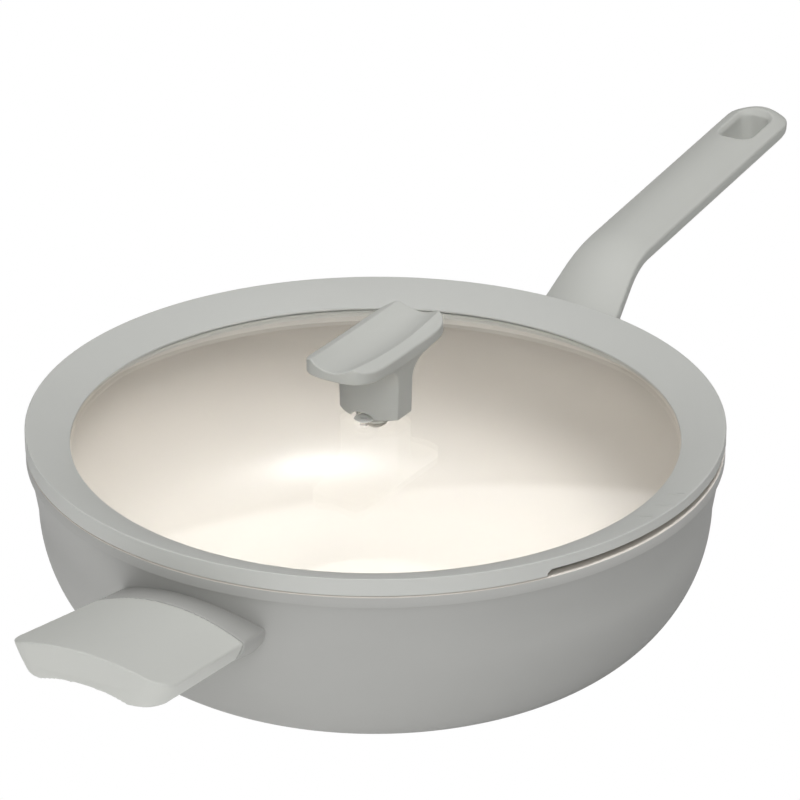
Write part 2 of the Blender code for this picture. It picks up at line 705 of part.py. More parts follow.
def on_line(distance):
    """(x, z, slope) at a distance along the top line; before its start the first run goes on backwards."""
    first = HANDLE_LINE[0]
    if distance <= 0:
        return first[1] + distance * cos(first[3]), first[2] + distance * sin(first[3]), first[3]
    for a, b in zip(HANDLE_LINE, HANDLE_LINE[1:]):
        if distance <= b[0]:
            share = (distance - a[0]) / (b[0] - a[0])
            return tuple(between(a[k], b[k], share) for k in (1, 2, 3))
    return HANDLE_LINE[-1][1:]


def at_handle(distance, across, depth):
    """A point given by its distance along the top line, its place across, and its depth under the line."""
    x, z, slope = on_line(distance)
    return (x + depth * sin(slope), across, z - depth * cos(slope))


def handle_section(distance, shrink=0.0):
    """One slice across the long handle: a crowned top, flat sides and a rounded belly."""
    narrowing = ease((distance - NECK_END) / (BEND_END - NECK_END))
    half = between(ROOT_WIDTH, GRIP_WIDTH, narrowing) / 2
    thick = between(ROOT_THICKNESS, GRIP_THICKNESS, narrowing)
    to_tip = HANDLE_LENGTH - distance
    if to_tip < TIP_ROUND:
        share = 1 - to_tip / TIP_ROUND
        half *= (1 - share**2.6) ** (1 / 2.6)
        thick = SIDE_HEIGHT + (thick - SIDE_HEIGHT) * (1 - 0.45 * share**2)
    half -= shrink
    thick -= shrink
    crown = TOP_CROWN * half / (GRIP_WIDTH / 2)
    edge = SIDE_EDGE
    half_ring = []
    for share in (0.15, 0.5, 0.8, 1.0):
        half_ring.append(((half - edge) * share, shrink - crown * (1 - share**2)))
    half_ring += [(half - edge * 0.3, shrink + edge * 0.3), (half, shrink + edge)]
    half_ring.append((half - SIDE_DRAFT, SIDE_HEIGHT))
    for angle in (25, 48, 70, 86):
        bend = radians(angle)
        half_ring.append(((half - SIDE_DRAFT) * cos(bend), SIDE_HEIGHT + (thick - SIDE_HEIGHT) * sin(bend)))
    ring_points = half_ring + [(-y, depth) for y, depth in reversed(half_ring)]
    return [at_handle(distance, y, depth) for y, depth in ring_points]


def ramp_box(start, end, half_width, top, bottom, name):
    """A box laid along the ramp: between two distances from the lower corner, under the top line."""
    corner = HANDLE_LINE[0]
    x0 = corner[1] + NECK_LENGTH * cos(NECK_SLOPE)
    z0 = corner[2] + NECK_LENGTH * sin(NECK_SLOPE)
    along = (cos(RAMP_SLOPE), sin(RAMP_SLOPE))
    down = (sin(RAMP_SLOPE), -cos(RAMP_SLOPE))

    def place(distance, depth, y):
        return (x0 + distance * along[0] + depth * down[0], y, z0 + distance * along[1] + depth * down[1])

    sections = []
    for distance in (start, end):
        corners = ((top, half_width), (top, -half_width), (bottom, -half_width), (bottom, half_width))
        sections.append([place(distance, depth, y) for depth, y in corners])
    return loft(sections, name)


def ramp_frame(distance, depth):
    """A matrix whose Z axis stands square on the ramp's top, at a point under the top line."""
    corner = HANDLE_LINE[0]
    x = corner[1] + NECK_LENGTH * cos(NECK_SLOPE) + distance * cos(RAMP_SLOPE) + depth * sin(RAMP_SLOPE)
    z = corner[2] + NECK_LENGTH * sin(NECK_SLOPE) + distance * sin(RAMP_SLOPE) - depth * cos(RAMP_SLOPE)
    return Matrix.Translation((x, 0, z)) @ Matrix.Rotation(-RAMP_SLOPE, 4, "Y")


def make_long_bracket(wall):
    """The neck that is fixed to the wall, with the tongue that carries the grip."""
    back = -(ROOT_THICKNESS * 1.3)
    stations = (back, 0, NECK_END * 0.35, NECK_END * 0.7, NECK_END)
    neck = loft([handle_section(s, CLEAR) for s in stations], "long_handle_bracket")
    bottom = TONGUE_DEPTH + TONGUE_THICKNESS
    join(neck, ramp_box(-NECK_LENGTH * 0.5, TONGUE_LENGTH, TONGUE_WIDTH / 2, TONGUE_DEPTH, bottom, "tongue"))
    boolean(neck, wall)
    hole = cylinder(SCREW_RADIUS + CLEAR, -ROOT_THICKNESS, ROOT_THICKNESS, "tongue_hole_cutter")
    hole.data.transform(ramp_frame(HANDLE_SCREW_AT, TONGUE_DEPTH))
    cut(neck, hole)
    return finish(neck, "long_handle_bracket", LOOKS["bracket"], radians(30))


def make_long_grip():
    stations = [NECK_END + CLEAR]
    stations += [d for d, *_ in HANDLE_LINE[1:-1] if d > NECK_END + SIDE_EDGE]
    stations.append(BEND_END + GRIP_EASE)
    tip_start = HANDLE_LENGTH - TIP_ROUND
    stations += [between(BEND_END + GRIP_EASE, tip_start, share) for share in (0.25, 0.5, 0.75, 1)]
    stations += [tip_start + TIP_ROUND * sin(radians(a)) for a in (22, 40, 54, 66, 76, 84)]
    grip = loft([handle_section(s) for s in sorted(set(stations))], "long_handle_grip")
    pocket_half = TONGUE_WIDTH / 2 + CLEAR
    pocket_top = TONGUE_DEPTH - CLEAR
    pocket_low = TONGUE_DEPTH + TONGUE_THICKNESS + CLEAR
    pocket_end = TONGUE_LENGTH + CLEAR
    cut(grip, ramp_box(-NECK_LENGTH, pocket_end, pocket_half, pocket_top, pocket_low, "tongue_cutter"))
    frame = ramp_frame(HANDLE_SCREW_AT, TONGUE_DEPTH + TONGUE_THICKNESS)
    seat = -(CLEAR + SCREW_WEB)
    shaft = cylinder(SCREW_RADIUS + CLEAR, seat - PAST, PAST, "screw_shaft_cutter")
    shaft.data.transform(frame)
    cut(grip, shaft)
    well = cylinder(SCREW_HEAD_RADIUS + CLEAR, seat - ROOT_THICKNESS, seat, "screw_head_cutter")
    well.data.transform(frame)
    cut(grip, well)
    cut(grip, hang_hole_cutter())
    return finish(grip, "long_handle_grip", LOOKS["soft_grey"], radians(30))


def hang_hole_cutter():
    """The hang hole, with a bevel round its upper edge."""
    middle = HANDLE_LENGTH - HANG_HOLE_MARGIN - HANG_HOLE_LENGTH / 2
    over = TOP_CROWN + PAST
    surface = -TOP_CROWN * (1 - (HANG_HOLE_WIDTH / GRIP_WIDTH) ** 2)
    edge = surface + HANG_HOLE_BEVEL
    sizes = ((-over, over + edge), (edge, 0), (GRIP_THICKNESS + over, 0))
    sections = []
    for depth, grow in sizes:
        length, width = HANG_HOLE_LENGTH + 2 * grow, HANG_HOLE_WIDTH + 2 * grow
        outline = rounded_rectangle(length, width, HANG_HOLE_ROUND + grow)
        sections.append([at_handle(middle + x, y, depth) for x, y in outline])
    return loft(sections, "hang_hole_cutter")


def make_long_screw():
    seat = -(CLEAR + SCREW_WEB + CLEAR)
    tip = TONGUE_THICKNESS - CLEAR
    made = screw("long_handle_screw", seat, tip, SCREW_RADIUS, SCREW_HEAD_RADIUS, SCREW_HEAD_HEIGHT)
    made.matrix_world = ramp_frame(HANDLE_SCREW_AT, TONGUE_DEPTH + TONGUE_THICKNESS)
    return made


# Helper handle

HELPER_START = wall_radius(HELPER_ROOT_TOP - HELPER_ROOT_CROWN)
HELPER_JOINT = HELPER_START + HELPER_NECK_LENGTH
HELPER_END = HELPER_JOINT + HELPER_LENGTH


def helper_half_width(reach):
    share = (reach - HELPER_JOINT) / HELPER_LENGTH
    return between(HELPER_ROOT_WIDTH, HELPER_END_WIDTH, share) / 2


def helper_top(reach, across):
    """The crowned top, as a height over a place on the helper handle."""
    share = (reach - HELPER_JOINT) / HELPER_LENGTH
    crown = between(HELPER_ROOT_CROWN, HELPER_END_CROWN, share)
    return between(HELPER_ROOT_TOP, HELPER_END_TOP, share) - crown * (across / helper_half_width(reach)) ** 2


def helper_section(reach):
    """One slice across the grip, at a distance from the pan's axis: a crowned top, and a hollow below."""
    share = (reach - HELPER_JOINT) / HELPER_LENGTH
    half = helper_half_width(reach)
    to_end = HELPER_END - reach
    if to_end < HELPER_CORNER_ROUND:
        inset = HELPER_CORNER_ROUND - to_end
        half -= HELPER_CORNER_ROUND - sqrt(max(HELPER_CORNER_ROUND**2 - inset**2, 0))
    bottom = between(HELPER_ROOT_BOTTOM, HELPER_END_BOTTOM, share)
    low_half = half - between(HELPER_ROOT_TUCK, HELPER_END_TUCK, share)
    top_edge = helper_top(reach, half)
    right = [(half * k, helper_top(reach, half * k)) for k in (0.15, 0.45, 0.75)]
    near = half - 0.6 * HELPER_EDGE
    right += [(near, helper_top(reach, near)), (half, top_edge - HELPER_EDGE)]
    for k in (0.35, 0.7, 0.95):
        right.append((between(half, low_half, k**1.3), between(top_edge, bottom, k)))
    for k in (0.95, 0.6, 0.2):
        right.append((low_half * k, bottom + HELPER_FINGER_HOLLOW * (1 - k**2)))
    outline = right + [(-y, z) for y, z in reversed(right)]
    bow = HELPER_END_BOW * share
    return [(-(reach - bow * (y / half) ** 2), -y, z) for y, z in outline]


def neck_section(reach, bottom, tuck):
    """One slice across the helper's neck: the grip's crowned top over a belly, deepest in the middle."""
    half = helper_half_width(reach)
    top_edge = helper_top(reach, half)
    right = [(half * k, helper_top(reach, half * k)) for k in (0.15, 0.45, 0.75)]
    near = half - 0.6 * HELPER_EDGE
    right += [(near, helper_top(reach, near)), (half, top_edge - HELPER_EDGE)]
    for k in (0.3, 0.6, 0.85, 1):
        right.append((half - tuck * k**2, between(top_edge - HELPER_EDGE, bottom, k)))
    outline = right + [(-y, z) for y, z in reversed(right)]
    return [(-reach, -y, z) for y, z in outline]


def make_helper_bracket(wall):
    """The neck that is fixed to the wall, with the tongue that carries the grip."""
    back = HELPER_START - HELPER_ROOT_WIDTH * 0.3
    seat = HELPER_JOINT - CLEAR
    sections = [neck_section(back, HELPER_GUSSET, HELPER_GUSSET_TUCK)]
    sections.append(neck_section(HELPER_START - WALL_THICKNESS, HELPER_GUSSET, HELPER_GUSSET_TUCK))
    sections.append(neck_section(seat, HELPER_ROOT_BOTTOM, HELPER_ROOT_TUCK))
    neck = loft(sections, "helper_bracket")
    top = HELPER_TONGUE_BOTTOM + HELPER_TONGUE_THICKNESS
    low = (-(HELPER_JOINT + HELPER_TONGUE_LENGTH), -HELPER_TONGUE_WIDTH / 2, HELPER_TONGUE_BOTTOM)
    high = (-(HELPER_START + HELPER_NECK_LENGTH / 6), HELPER_TONGUE_WIDTH / 2, top)
    tongue = box(low, high, "helper_tongue")
    for side in (-1, 1):
        centre = (-(HELPER_JOINT + HELPER_SCREW_AT), side * HELPER_SCREW_SPACING / 2)
        hole = (HELPER_TONGUE_BOTTOM - PAST, top + PAST)
        cut(tongue, cylinder(SCREW_RADIUS + CLEAR, *hole, "helper_tongue_hole_cutter", centre))
    join(neck, tongue)
    boolean(neck, wall)
    return finish(neck, "helper_bracket", LOOKS["bracket"], radians(30))


def make_helper_grip():
    stations = [HELPER_JOINT, between(HELPER_JOINT, HELPER_END, 0.45)]
    stations += [HELPER_END - HELPER_CORNER_ROUND * (1 - sin(radians(a))) for a in (0, 24, 45, 62, 76)]
    stations.append(HELPER_END)
    grip = loft([helper_section(s) for s in stations], "helper_grip")
    low = (
        -(HELPER_JOINT + HELPER_TONGUE_LENGTH + CLEAR),
        -HELPER_TONGUE_WIDTH / 2 - CLEAR,
        HELPER_TONGUE_BOTTOM - CLEAR,
    )
    high = (
        -HELPER_JOINT + PAST,
        HELPER_TONGUE_WIDTH / 2 + CLEAR,
        HELPER_TONGUE_BOTTOM + HELPER_TONGUE_THICKNESS + CLEAR,
    )
    cut(grip, box(low, high, "helper_pocket_cutter"))
    seat = HELPER_TONGUE_BOTTOM - CLEAR - SCREW_WEB
    for side in (-1, 1):
        centre = (-(HELPER_JOINT + HELPER_SCREW_AT), side * HELPER_SCREW_SPACING / 2)
        shaft = (seat - PAST, HELPER_TONGUE_BOTTOM + PAST)
        cut(grip, cylinder(SCREW_RADIUS + CLEAR, *shaft, "helper_shaft_cutter", centre))
        well = (HELPER_ROOT_BOTTOM - PAST, seat)
        cut(grip, cylinder(SCREW_HEAD_RADIUS + CLEAR, *well, "helper_head_cutter", centre))
    return finish(grip, "helper_grip", LOOKS["soft_grey"], radians(30))


def make_helper_screws():
    seat = HELPER_TONGUE_BOTTOM - CLEAR - SCREW_WEB - CLEAR
    tip = HELPER_TONGUE_BOTTOM + HELPER_TONGUE_THICKNESS - CLEAR
    for side, name in ((-1, "helper_screw_front"), (1, "helper_screw_back")):
        made = screw(name, seat, tip, SCREW_RADIUS, SCREW_HEAD_RADIUS, SCREW_HEAD_HEIGHT)
        made.location = (-(HELPER_JOINT + HELPER_SCREW_AT), side * HELPER_SCREW_SPACING / 2, 0)


LOOKS = {
    "coat": material("grey_outer_coat", (0.36, 0.36, 0.35), 0.55),
    "bracket": material("grey_bracket_coat", (0.30, 0.30, 0.29), 0.5),
    "soft_grey": material("soft_touch_grey", (0.47, 0.475, 0.45), 0.6),
    "silicone": material("silicone_grey", (0.45, 0.455, 0.435), 0.65),
    "glass": material("clear_glass", (0.95, 0.97, 0.96), 0.02, transmission=1.0),
    "steel": material("stainless_steel", (0.62, 0.61, 0.59), 0.3, metallic=1.0),
    "brass": material("brass", (0.75, 0.55, 0.25), 0.35, metallic=1.0),
    "seal": material("clear_seal_silicone", (0.72, 0.72, 0.69), 0.6),
}

make_pan()
make_plate()
WALL = as_cutter(wall_cutter())
make_long_bracket(WALL)
make_long_grip()
make_long_screw()
make_helper_bracket(WALL)
make_helper_grip()
make_helper_screws()
make_glass()
make_rim()
make_vent()
make_knob()
make_gasket()
make_knob_fastening()
print("Length along X, handle tip to helper end:", round(HANDLE_LINE[-1][1] + HELPER_END, 4))
print("Height to the knob's crest:", round(KNOB_TOP, 4))
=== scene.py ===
# %% [markdown]
# # A covered wok, from plain solids to a finished portrait
#
# The object is a deep, round-walled pan with a long handle and a short helper handle, under a domed glass
# lid. The lid sits in a soft silicone ring, and a bar-shaped knob stands on a foot in its middle.
#
# A imported model already holds every piece at its real size, with few faces. Here each piece that shows
# gets its fine shape, and every piece gets its finish. The sizes of the fine shapes start from the packed
# pieces' own boxes, so they land in the same places. The imported model is loaded first, and its whole box
# is kept, so that its size can be printed beside the scene's at the end.

# %% Load the model
from math import asin, cos, pi, radians, sin, sqrt, tan

import bmesh
import bpy
from mathutils import Matrix, Vector


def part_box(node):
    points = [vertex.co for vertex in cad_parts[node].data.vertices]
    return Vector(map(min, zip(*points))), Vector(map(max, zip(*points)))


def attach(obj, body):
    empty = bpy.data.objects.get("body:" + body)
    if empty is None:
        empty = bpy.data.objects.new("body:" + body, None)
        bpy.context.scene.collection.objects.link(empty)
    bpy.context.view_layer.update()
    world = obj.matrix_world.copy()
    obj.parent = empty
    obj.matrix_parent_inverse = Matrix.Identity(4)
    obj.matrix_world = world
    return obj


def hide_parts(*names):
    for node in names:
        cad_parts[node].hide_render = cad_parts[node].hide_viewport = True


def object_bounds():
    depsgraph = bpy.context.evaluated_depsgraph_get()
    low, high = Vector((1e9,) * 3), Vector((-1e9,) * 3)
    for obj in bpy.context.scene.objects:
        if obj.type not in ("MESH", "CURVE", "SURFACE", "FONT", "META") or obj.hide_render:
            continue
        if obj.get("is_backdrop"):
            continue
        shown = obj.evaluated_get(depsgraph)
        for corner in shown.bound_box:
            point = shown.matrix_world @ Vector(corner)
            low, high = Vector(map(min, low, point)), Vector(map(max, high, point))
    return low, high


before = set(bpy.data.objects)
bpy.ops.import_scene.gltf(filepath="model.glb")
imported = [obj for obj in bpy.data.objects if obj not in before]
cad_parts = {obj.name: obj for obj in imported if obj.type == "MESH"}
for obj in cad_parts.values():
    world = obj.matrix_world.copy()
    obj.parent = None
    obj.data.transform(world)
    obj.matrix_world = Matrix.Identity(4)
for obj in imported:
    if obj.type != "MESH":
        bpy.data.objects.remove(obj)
CAD_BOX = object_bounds()
MM = 0.001
print("Pieces in the packed model:", len(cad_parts))

# %% [markdown]
# ## The camera
#
# A product picture is often taken from far away with a long lens, which keeps the near and far rims of a
# pan almost the same size. The camera could be placed by trial, but a few measured angles say more: how
# far round the pan it stands, how high it looks from, and how far away it is. The "Standard" view
# transform shows colours as they are, so a white backdrop stays pure white.

# %% Place the camera
CAMERA_LENS_MM = 225
SENSOR_WIDTH_MM = 36
CAMERA_DISTANCE = 2112 * MM
CAMERA_BEARING = radians(31.7)
CAMERA_HEIGHT_ANGLE = radians(25.53)
CAMERA_TILT = radians(25.32)
CAMERA_YAW = radians(-0.31)

RIM_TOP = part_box("lid_rim")[1].z
facing = Vector((cos(CAMERA_BEARING), sin(CAMERA_BEARING), 0))
away = CAMERA_DISTANCE * cos(CAMERA_HEIGHT_ANGLE)
camera_place = Vector((0, 0, RIM_TOP + CAMERA_DISTANCE * sin(CAMERA_HEIGHT_ANGLE))) - facing * away
camera_turn = (pi / 2 - CAMERA_TILT, 0, CAMERA_BEARING + CAMERA_YAW - pi / 2)
bpy.ops.object.camera_add(location=camera_place, rotation=camera_turn)
camera = bpy.context.object
camera.data.lens = CAMERA_LENS_MM
camera.data.sensor_width = SENSOR_WIDTH_MM
bpy.context.scene.camera = camera
bpy.context.scene.view_settings.view_transform = "Standard"
print("Camera at", [round(value, 3) for value in camera.location])

# %% [markdown]
# ## The studio
#
# The pan stands in a white sweep under two large soft lights, one overhead and one high over the camera,
# with weak ones low in front, at the left and at the right. A sky image could light it, but a plain
# world, one pale floor and area lamps are easier to steer. Large lamps give soft shading with no hard
# shadow edge. World and floor look pure white to the camera and much dimmer to everything else, so the
# pale greys keep their shading, and the pan stands on white with no shadow round it, as in a catalogue
# picture. A Light Path node tells the camera's rays from the others. The floor glows on one side only,
# brightest in the direction of FLOOR_GLOW_BEARING, and so the wall's right flank turns dark. A Dot
# Product node finds that direction.
#
# Glass needs something to mirror. A glowing card stands behind the pan, out of the camera's sight, and
# the front of the dome mirrors it as a broad white sheen. Its lower border fades and is tilted, so the
# sheen starts softly and slants. All of this is staging and no part of the object.

# %% Build the studio
WHITE = (1, 1, 1, 1)
WORLD_LIGHT = 0.05
FLOOR_SIZE = 14.0
FLOOR_GAP = 0.2 * MM
FLOOR_SHADE = (0.8, 0.8, 0.8, 1)
FLOOR_ROUGHNESS = 0.9
FLOOR_GLOSS = 0.1
FLOOR_GLOW = 0.42
FLOOR_GLOW_BEARING = radians(172)
CARD_BEARING = radians(31.0)
CARD_DISTANCE = 3.0
CARD_RISE = 0.725
CARD_ROLL = radians(21.2)
CARD_WIDTH = 3.6
CARD_HEIGHT = 2.4
CARD_GLOW = 0.65
CARD_BORDER = -0.5
CARD_FADE = 0.05
LAMP_DISTANCE = 2.6
# Each lamp has its bearing and height in degrees, its width in metres and its watts.
LAMPS = {
    "top_lamp": (32, 88, 2.2, 36),
    "high_lamp": (214, 45, 1.8, 28),
    "low_lamp": (209, 12, 1.8, 7),
    "left_lamp": (165, 25, 1.8, 7),
    "right_lamp": (290, 48, 1.8, 6),
}


def deselect_all():
    """Leaves edit mode and deselects every object, because operators act on all that is selected."""
    if bpy.context.mode != "OBJECT":
        bpy.ops.object.mode_set(mode="OBJECT")
    bpy.ops.object.select_all(action="DESELECT")


def new_material(name):
    """A new node material, with its nodes and its links."""
    made = bpy.data.materials.new(name)
    made.use_nodes = True
    return made, made.node_tree.nodes, made.node_tree.links


def own_place(nodes):
    """The socket that says where a point lies on its own object."""
    return nodes.new("ShaderNodeTexCoord").outputs["Object"]


def choose_by_ray(nodes, links, ray, usual, special, output):
    """Shows the special shader to one kind of ray, and the usual one to all others."""
    path = nodes.new("ShaderNodeLightPath")
    choice = nodes.new("ShaderNodeMixShader")
    links.new(path.outputs[ray], choice.inputs["Fac"])
    links.new(usual.outputs[0], choice.inputs[1])
    links.new(special.outputs[0], choice.inputs[2])
    links.new(choice.outputs["Shader"], output.inputs["Surface"])


def white_world():
    world = bpy.data.worlds.new("white_sweep")
    world.use_nodes = True
    nodes, links = world.node_tree.nodes, world.node_tree.links
    seen = nodes.new("ShaderNodeBackground")
    lighting = nodes["Background"]
    for background, strength in ((seen, 1.0), (lighting, WORLD_LIGHT)):
        background.inputs["Color"].default_value = WHITE
        background.inputs["Strength"].default_value = strength
    choose_by_ray(nodes, links, "Is Camera Ray", lighting, seen, nodes["World Output"])
    bpy.context.scene.world = world


def pale_floor():
    deselect_all()
    bpy.ops.mesh.primitive_plane_add(size=FLOOR_SIZE, location=(0, 0, -FLOOR_GAP))
    floor = bpy.context.object
    floor.name = "pale_floor"
    look, nodes, links = new_material("pale_floor")
    shader = nodes["Principled BSDF"]
    shader.inputs["Base Color"].default_value = FLOOR_SHADE
    shader.inputs["Roughness"].default_value = FLOOR_ROUGHNESS
    shader.inputs["Specular IOR Level"].default_value = FLOOR_GLOSS
    shader.inputs["Emission Color"].default_value = WHITE
    heading = nodes.new("ShaderNodeVectorMath")
    heading.operation = "NORMALIZE"
    towards = nodes.new("ShaderNodeVectorMath")
    towards.operation = "DOT_PRODUCT"
    towards.inputs[1].default_value = (cos(FLOOR_GLOW_BEARING), sin(FLOOR_GLOW_BEARING), 0)
    strength = nodes.new("ShaderNodeMapRange")
    strength.inputs["To Max"].default_value = FLOOR_GLOW
    links.new(own_place(nodes), heading.inputs[0])
    links.new(heading.outputs["Vector"], towards.inputs[0])
    links.new(towards.outputs["Value"], strength.inputs["Value"])
    links.new(strength.outputs["Result"], shader.inputs["Emission Strength"])
    seen = nodes.new("ShaderNodeEmission")
    choose_by_ray(nodes, links, "Is Camera Ray", shader, seen, nodes["Material Output"])
    floor.data.materials.append(look)
    floor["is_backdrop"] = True


def soft_lamp(name, bearing, height, distance, size, watts):
    """A square area lamp that looks at the pan, from a bearing round it and an angle above the floor."""
    way = Vector((cos(bearing) * cos(height), sin(bearing) * cos(height), sin(height)))
    turn = way.to_track_quat("Z", "Y").to_euler()
    bpy.ops.object.light_add(type="AREA", location=way * distance, rotation=turn)
    lamp = bpy.context.object
    lamp.name = name
    lamp.data.shape = "SQUARE"
    lamp.data.size = size
    lamp.data.energy = watts
    return lamp


def mirror_card():
    """The glowing card that the glass mirrors. Lamps and dull surfaces don't see it."""
    deselect_all()
    heading = CARD_BEARING - pi / 2
    turn = Matrix.Rotation(heading, 3, "Z") @ Matrix.Rotation(CARD_ROLL, 3, "Y")
    turn = turn @ Matrix.Rotation(pi / 2, 3, "X")
    upwards = turn @ Vector((0, 1, 0))
    out = Vector((cos(CARD_BEARING), sin(CARD_BEARING), CARD_RISE)) * CARD_DISTANCE
    middle = Vector((0, 0, RIM_TOP)) + out + upwards * CARD_HEIGHT / 2
    bpy.ops.mesh.primitive_plane_add(size=1, location=middle, rotation=turn.to_euler())
    card = bpy.context.object
    card.scale = (CARD_WIDTH, CARD_HEIGHT, 1)
    card.name = "mirror_card"
    look, nodes, links = new_material("mirror_card")
    nodes.remove(nodes["Principled BSDF"])
    axes = nodes.new("ShaderNodeSeparateXYZ")
    fade = nodes.new("ShaderNodeMapRange")
    fade.interpolation_type = "SMOOTHSTEP"
    fade.inputs["From Min"].default_value = CARD_BORDER
    fade.inputs["From Max"].default_value = CARD_BORDER + CARD_FADE
    fade.inputs["To Max"].default_value = CARD_GLOW
    glow = nodes.new("ShaderNodeEmission")
    links.new(own_place(nodes), axes.inputs["Vector"])
    links.new(axes.outputs["Y"], fade.inputs["Value"])
    links.new(fade.outputs["Result"], glow.inputs["Strength"])
    links.new(glow.outputs["Emission"], nodes["Material Output"].inputs["Surface"])
    card.data.materials.append(look)
    card.visible_camera = False
    card.visible_diffuse = False
    card.visible_shadow = False
    card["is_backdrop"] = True


white_world()
pale_floor()
for name, (bearing, height, width, watts) in LAMPS.items():
    soft_lamp(name, radians(bearing), radians(height), LAMP_DISTANCE, width, watts)
mirror_card()

# %% [markdown]
# ## Finishes
#
# No real finish is one flat colour. Paint, moulded rubber and ceramic glaze each vary a little over a
# hand's width, have a fine grain, and scatter light a bit differently from place to place. Painted image
# textures could show that, but noise worked out by nodes needs no files and no unwrapping. One helper
# builds the dull finishes: broad noise shifts the colour slightly, fine noise shifts the roughness and
# feeds a Bump node. It reads Object coordinates, which are in metres here, so a noise scale of 1 / grain
# size gives the grain its real size.

# %% Dull finishes
GRAIN_BUMP = 0.35
MOTTLE_SIZE = 45 * MM
ROUGHNESS_SPREAD = 0.1
COAT_ROUGHNESS = 0.25


def linear(shade):
    """A colour as scene-linear values, from the 0 to 255 values that a screen shows."""
    made = []
    for value in shade:
        share = value / 255
        made.append(share / 12.92 if share <= 0.04045 else ((share + 0.055) / 1.055) ** 2.4)
    return made


def noise(nodes, links, place, size, detail=2.0):
    """A noise texture whose blobs are about as wide as size, in metres."""
    made = nodes.new("ShaderNodeTexNoise")
    made.inputs["Scale"].default_value = 1 / size
    made.inputs["Detail"].default_value = detail
    links.new(place, made.inputs["Vector"])
    return made.outputs["Fac"]


def spread(nodes, links, value, low, high):
    """Maps a 0 to 1 value to the range from low to high."""
    made = nodes.new("ShaderNodeMapRange")
    made.inputs["To Min"].default_value = low
    made.inputs["To Max"].default_value = high
    links.new(value, made.inputs["Value"])
    return made.outputs["Result"]


def tint(nodes, links, value, shade, dark, light):
    """Colours the shader with one shade, times dark where the value is 0 and times light where it is 1."""
    mix = nodes.new("ShaderNodeMix")
    mix.data_type = "RGBA"
    for socket, share in (("A", dark), ("B", light)):
        mix.inputs[socket].default_value = (*[part * share for part in linear(shade)], 1)
    links.new(value, mix.inputs["Factor"])
    links.new(mix.outputs["Result"], nodes["Principled BSDF"].inputs["Base Color"])


def roughen(nodes, links, value, low, high, strength, depth):
    """Varies the shader's roughness by a value, and bumps its surface by the same value."""
    shader = nodes["Principled BSDF"]
    links.new(spread(nodes, links, value, low, high), shader.inputs["Roughness"])
    bump = nodes.new("ShaderNodeBump")
    bump.inputs["Strength"].default_value = strength
    bump.inputs["Distance"].default_value = depth
    links.new(value, bump.inputs["Height"])
    links.new(bump.outputs["Normal"], shader.inputs["Normal"])


def dull_finish(name, shade, roughness, grain, depth, mottle=0.03, coat=0.0, sheen=0.0):
    """A finish of one shade that varies by the share mottle, with a grain of a given size and depth."""
    look, nodes, links = new_material(name)
    place = own_place(nodes)
    broad = noise(nodes, links, place, MOTTLE_SIZE, 3.0)
    fine = noise(nodes, links, place, grain)
    tint(nodes, links, broad, shade, 1 - mottle, 1 + mottle)
    low, high = roughness * (1 - ROUGHNESS_SPREAD), roughness * (1 + ROUGHNESS_SPREAD)
    roughen(nodes, links, fine, low, high, GRAIN_BUMP, depth)
    shader = nodes["Principled BSDF"]
    shader.inputs["Coat Weight"].default_value = coat
    shader.inputs["Coat Roughness"].default_value = COAT_ROUGHNESS
    shader.inputs["Sheen Weight"].default_value = sheen
    return look


PAN_COAT = dull_finish("matte_grey_coat", (167, 167, 164), roughness=0.58, grain=0.5 * MM, depth=0.02 * MM)
BRACKET_COAT = dull_finish(
    "matte_bracket_coat", (167, 167, 164), roughness=0.55, grain=0.5 * MM, depth=0.02 * MM
)
SOFT_TOUCH = dull_finish(
    "soft_touch_grip", (194, 195, 190), roughness=0.62, grain=0.35 * MM, depth=0.015 * MM, sheen=0.05
)
RIM_SILICONE = dull_finish(
    "grey_rim_silicone", (193, 194, 190), roughness=0.6, grain=0.6 * MM, depth=0.012 * MM
)
CERAMIC = dull_finish(
    "cream_ceramic", (208, 202, 194), roughness=0.38, grain=0.8 * MM, depth=0.008 * MM,
    mottle=0.015, coat=0.25,
)
SEAL = dull_finish("pale_seal_silicone", (226, 227, 222), roughness=0.5, grain=0.4 * MM, depth=0.01 * MM)
# The steel vent collar gets a near-white dull shade instead of steel: a painted highlight that keeps it
# bright in the knob's shade.
VENT_PAINTED_HIGHLIGHT = dull_finish(
    "vent_collar_painted_highlight", (240, 240, 237), roughness=0.42, grain=0.3 * MM, depth=0.006 * MM, coat=0.3
)
print("Dull finishes:", PAN_COAT.name, SOFT_TOUCH.name, CERAMIC.name)

# %% [markdown]
# ## Metal
#
# Turned steel carries fine rings from the lathe or the press, and satin steel has a short brushed grain.
# The rings follow the distance from the axis, so a Vector Math node measures that length and a noise
# reads it as one number. The brushed grain is noise squeezed across the brush's way, so that it draws out
# into short lines. Metals keep a Metallic value of 1 on the shader's own socket.

# %% Metals
METAL_DARKER = 0.94
METAL_SPREAD = 0.3
METAL_GRAIN_DEPTH = 0.01 * MM
TURNED_RING_WIDTH = 0.5 * MM
BRUSHED_WIDTH = 1.2 * MM
BRUSHED_SQUEEZE = (1, 8, 8)


def turned_grain(nodes, links):
    """Rings round Z: a noise of one number, the distance from the axis."""
    flat = nodes.new("ShaderNodeVectorMath")
    flat.operation = "MULTIPLY"
    flat.inputs[1].default_value = (1, 1, 0)
    away_from_axis = nodes.new("ShaderNodeVectorMath")
    away_from_axis.operation = "LENGTH"
    links.new(own_place(nodes), flat.inputs[0])
    links.new(flat.outputs["Vector"], away_from_axis.inputs[0])
    grain = nodes.new("ShaderNodeTexNoise")
    grain.noise_dimensions = "1D"
    grain.inputs["Scale"].default_value = 1 / TURNED_RING_WIDTH
    links.new(away_from_axis.outputs["Value"], grain.inputs["W"])
    return grain.outputs["Fac"]


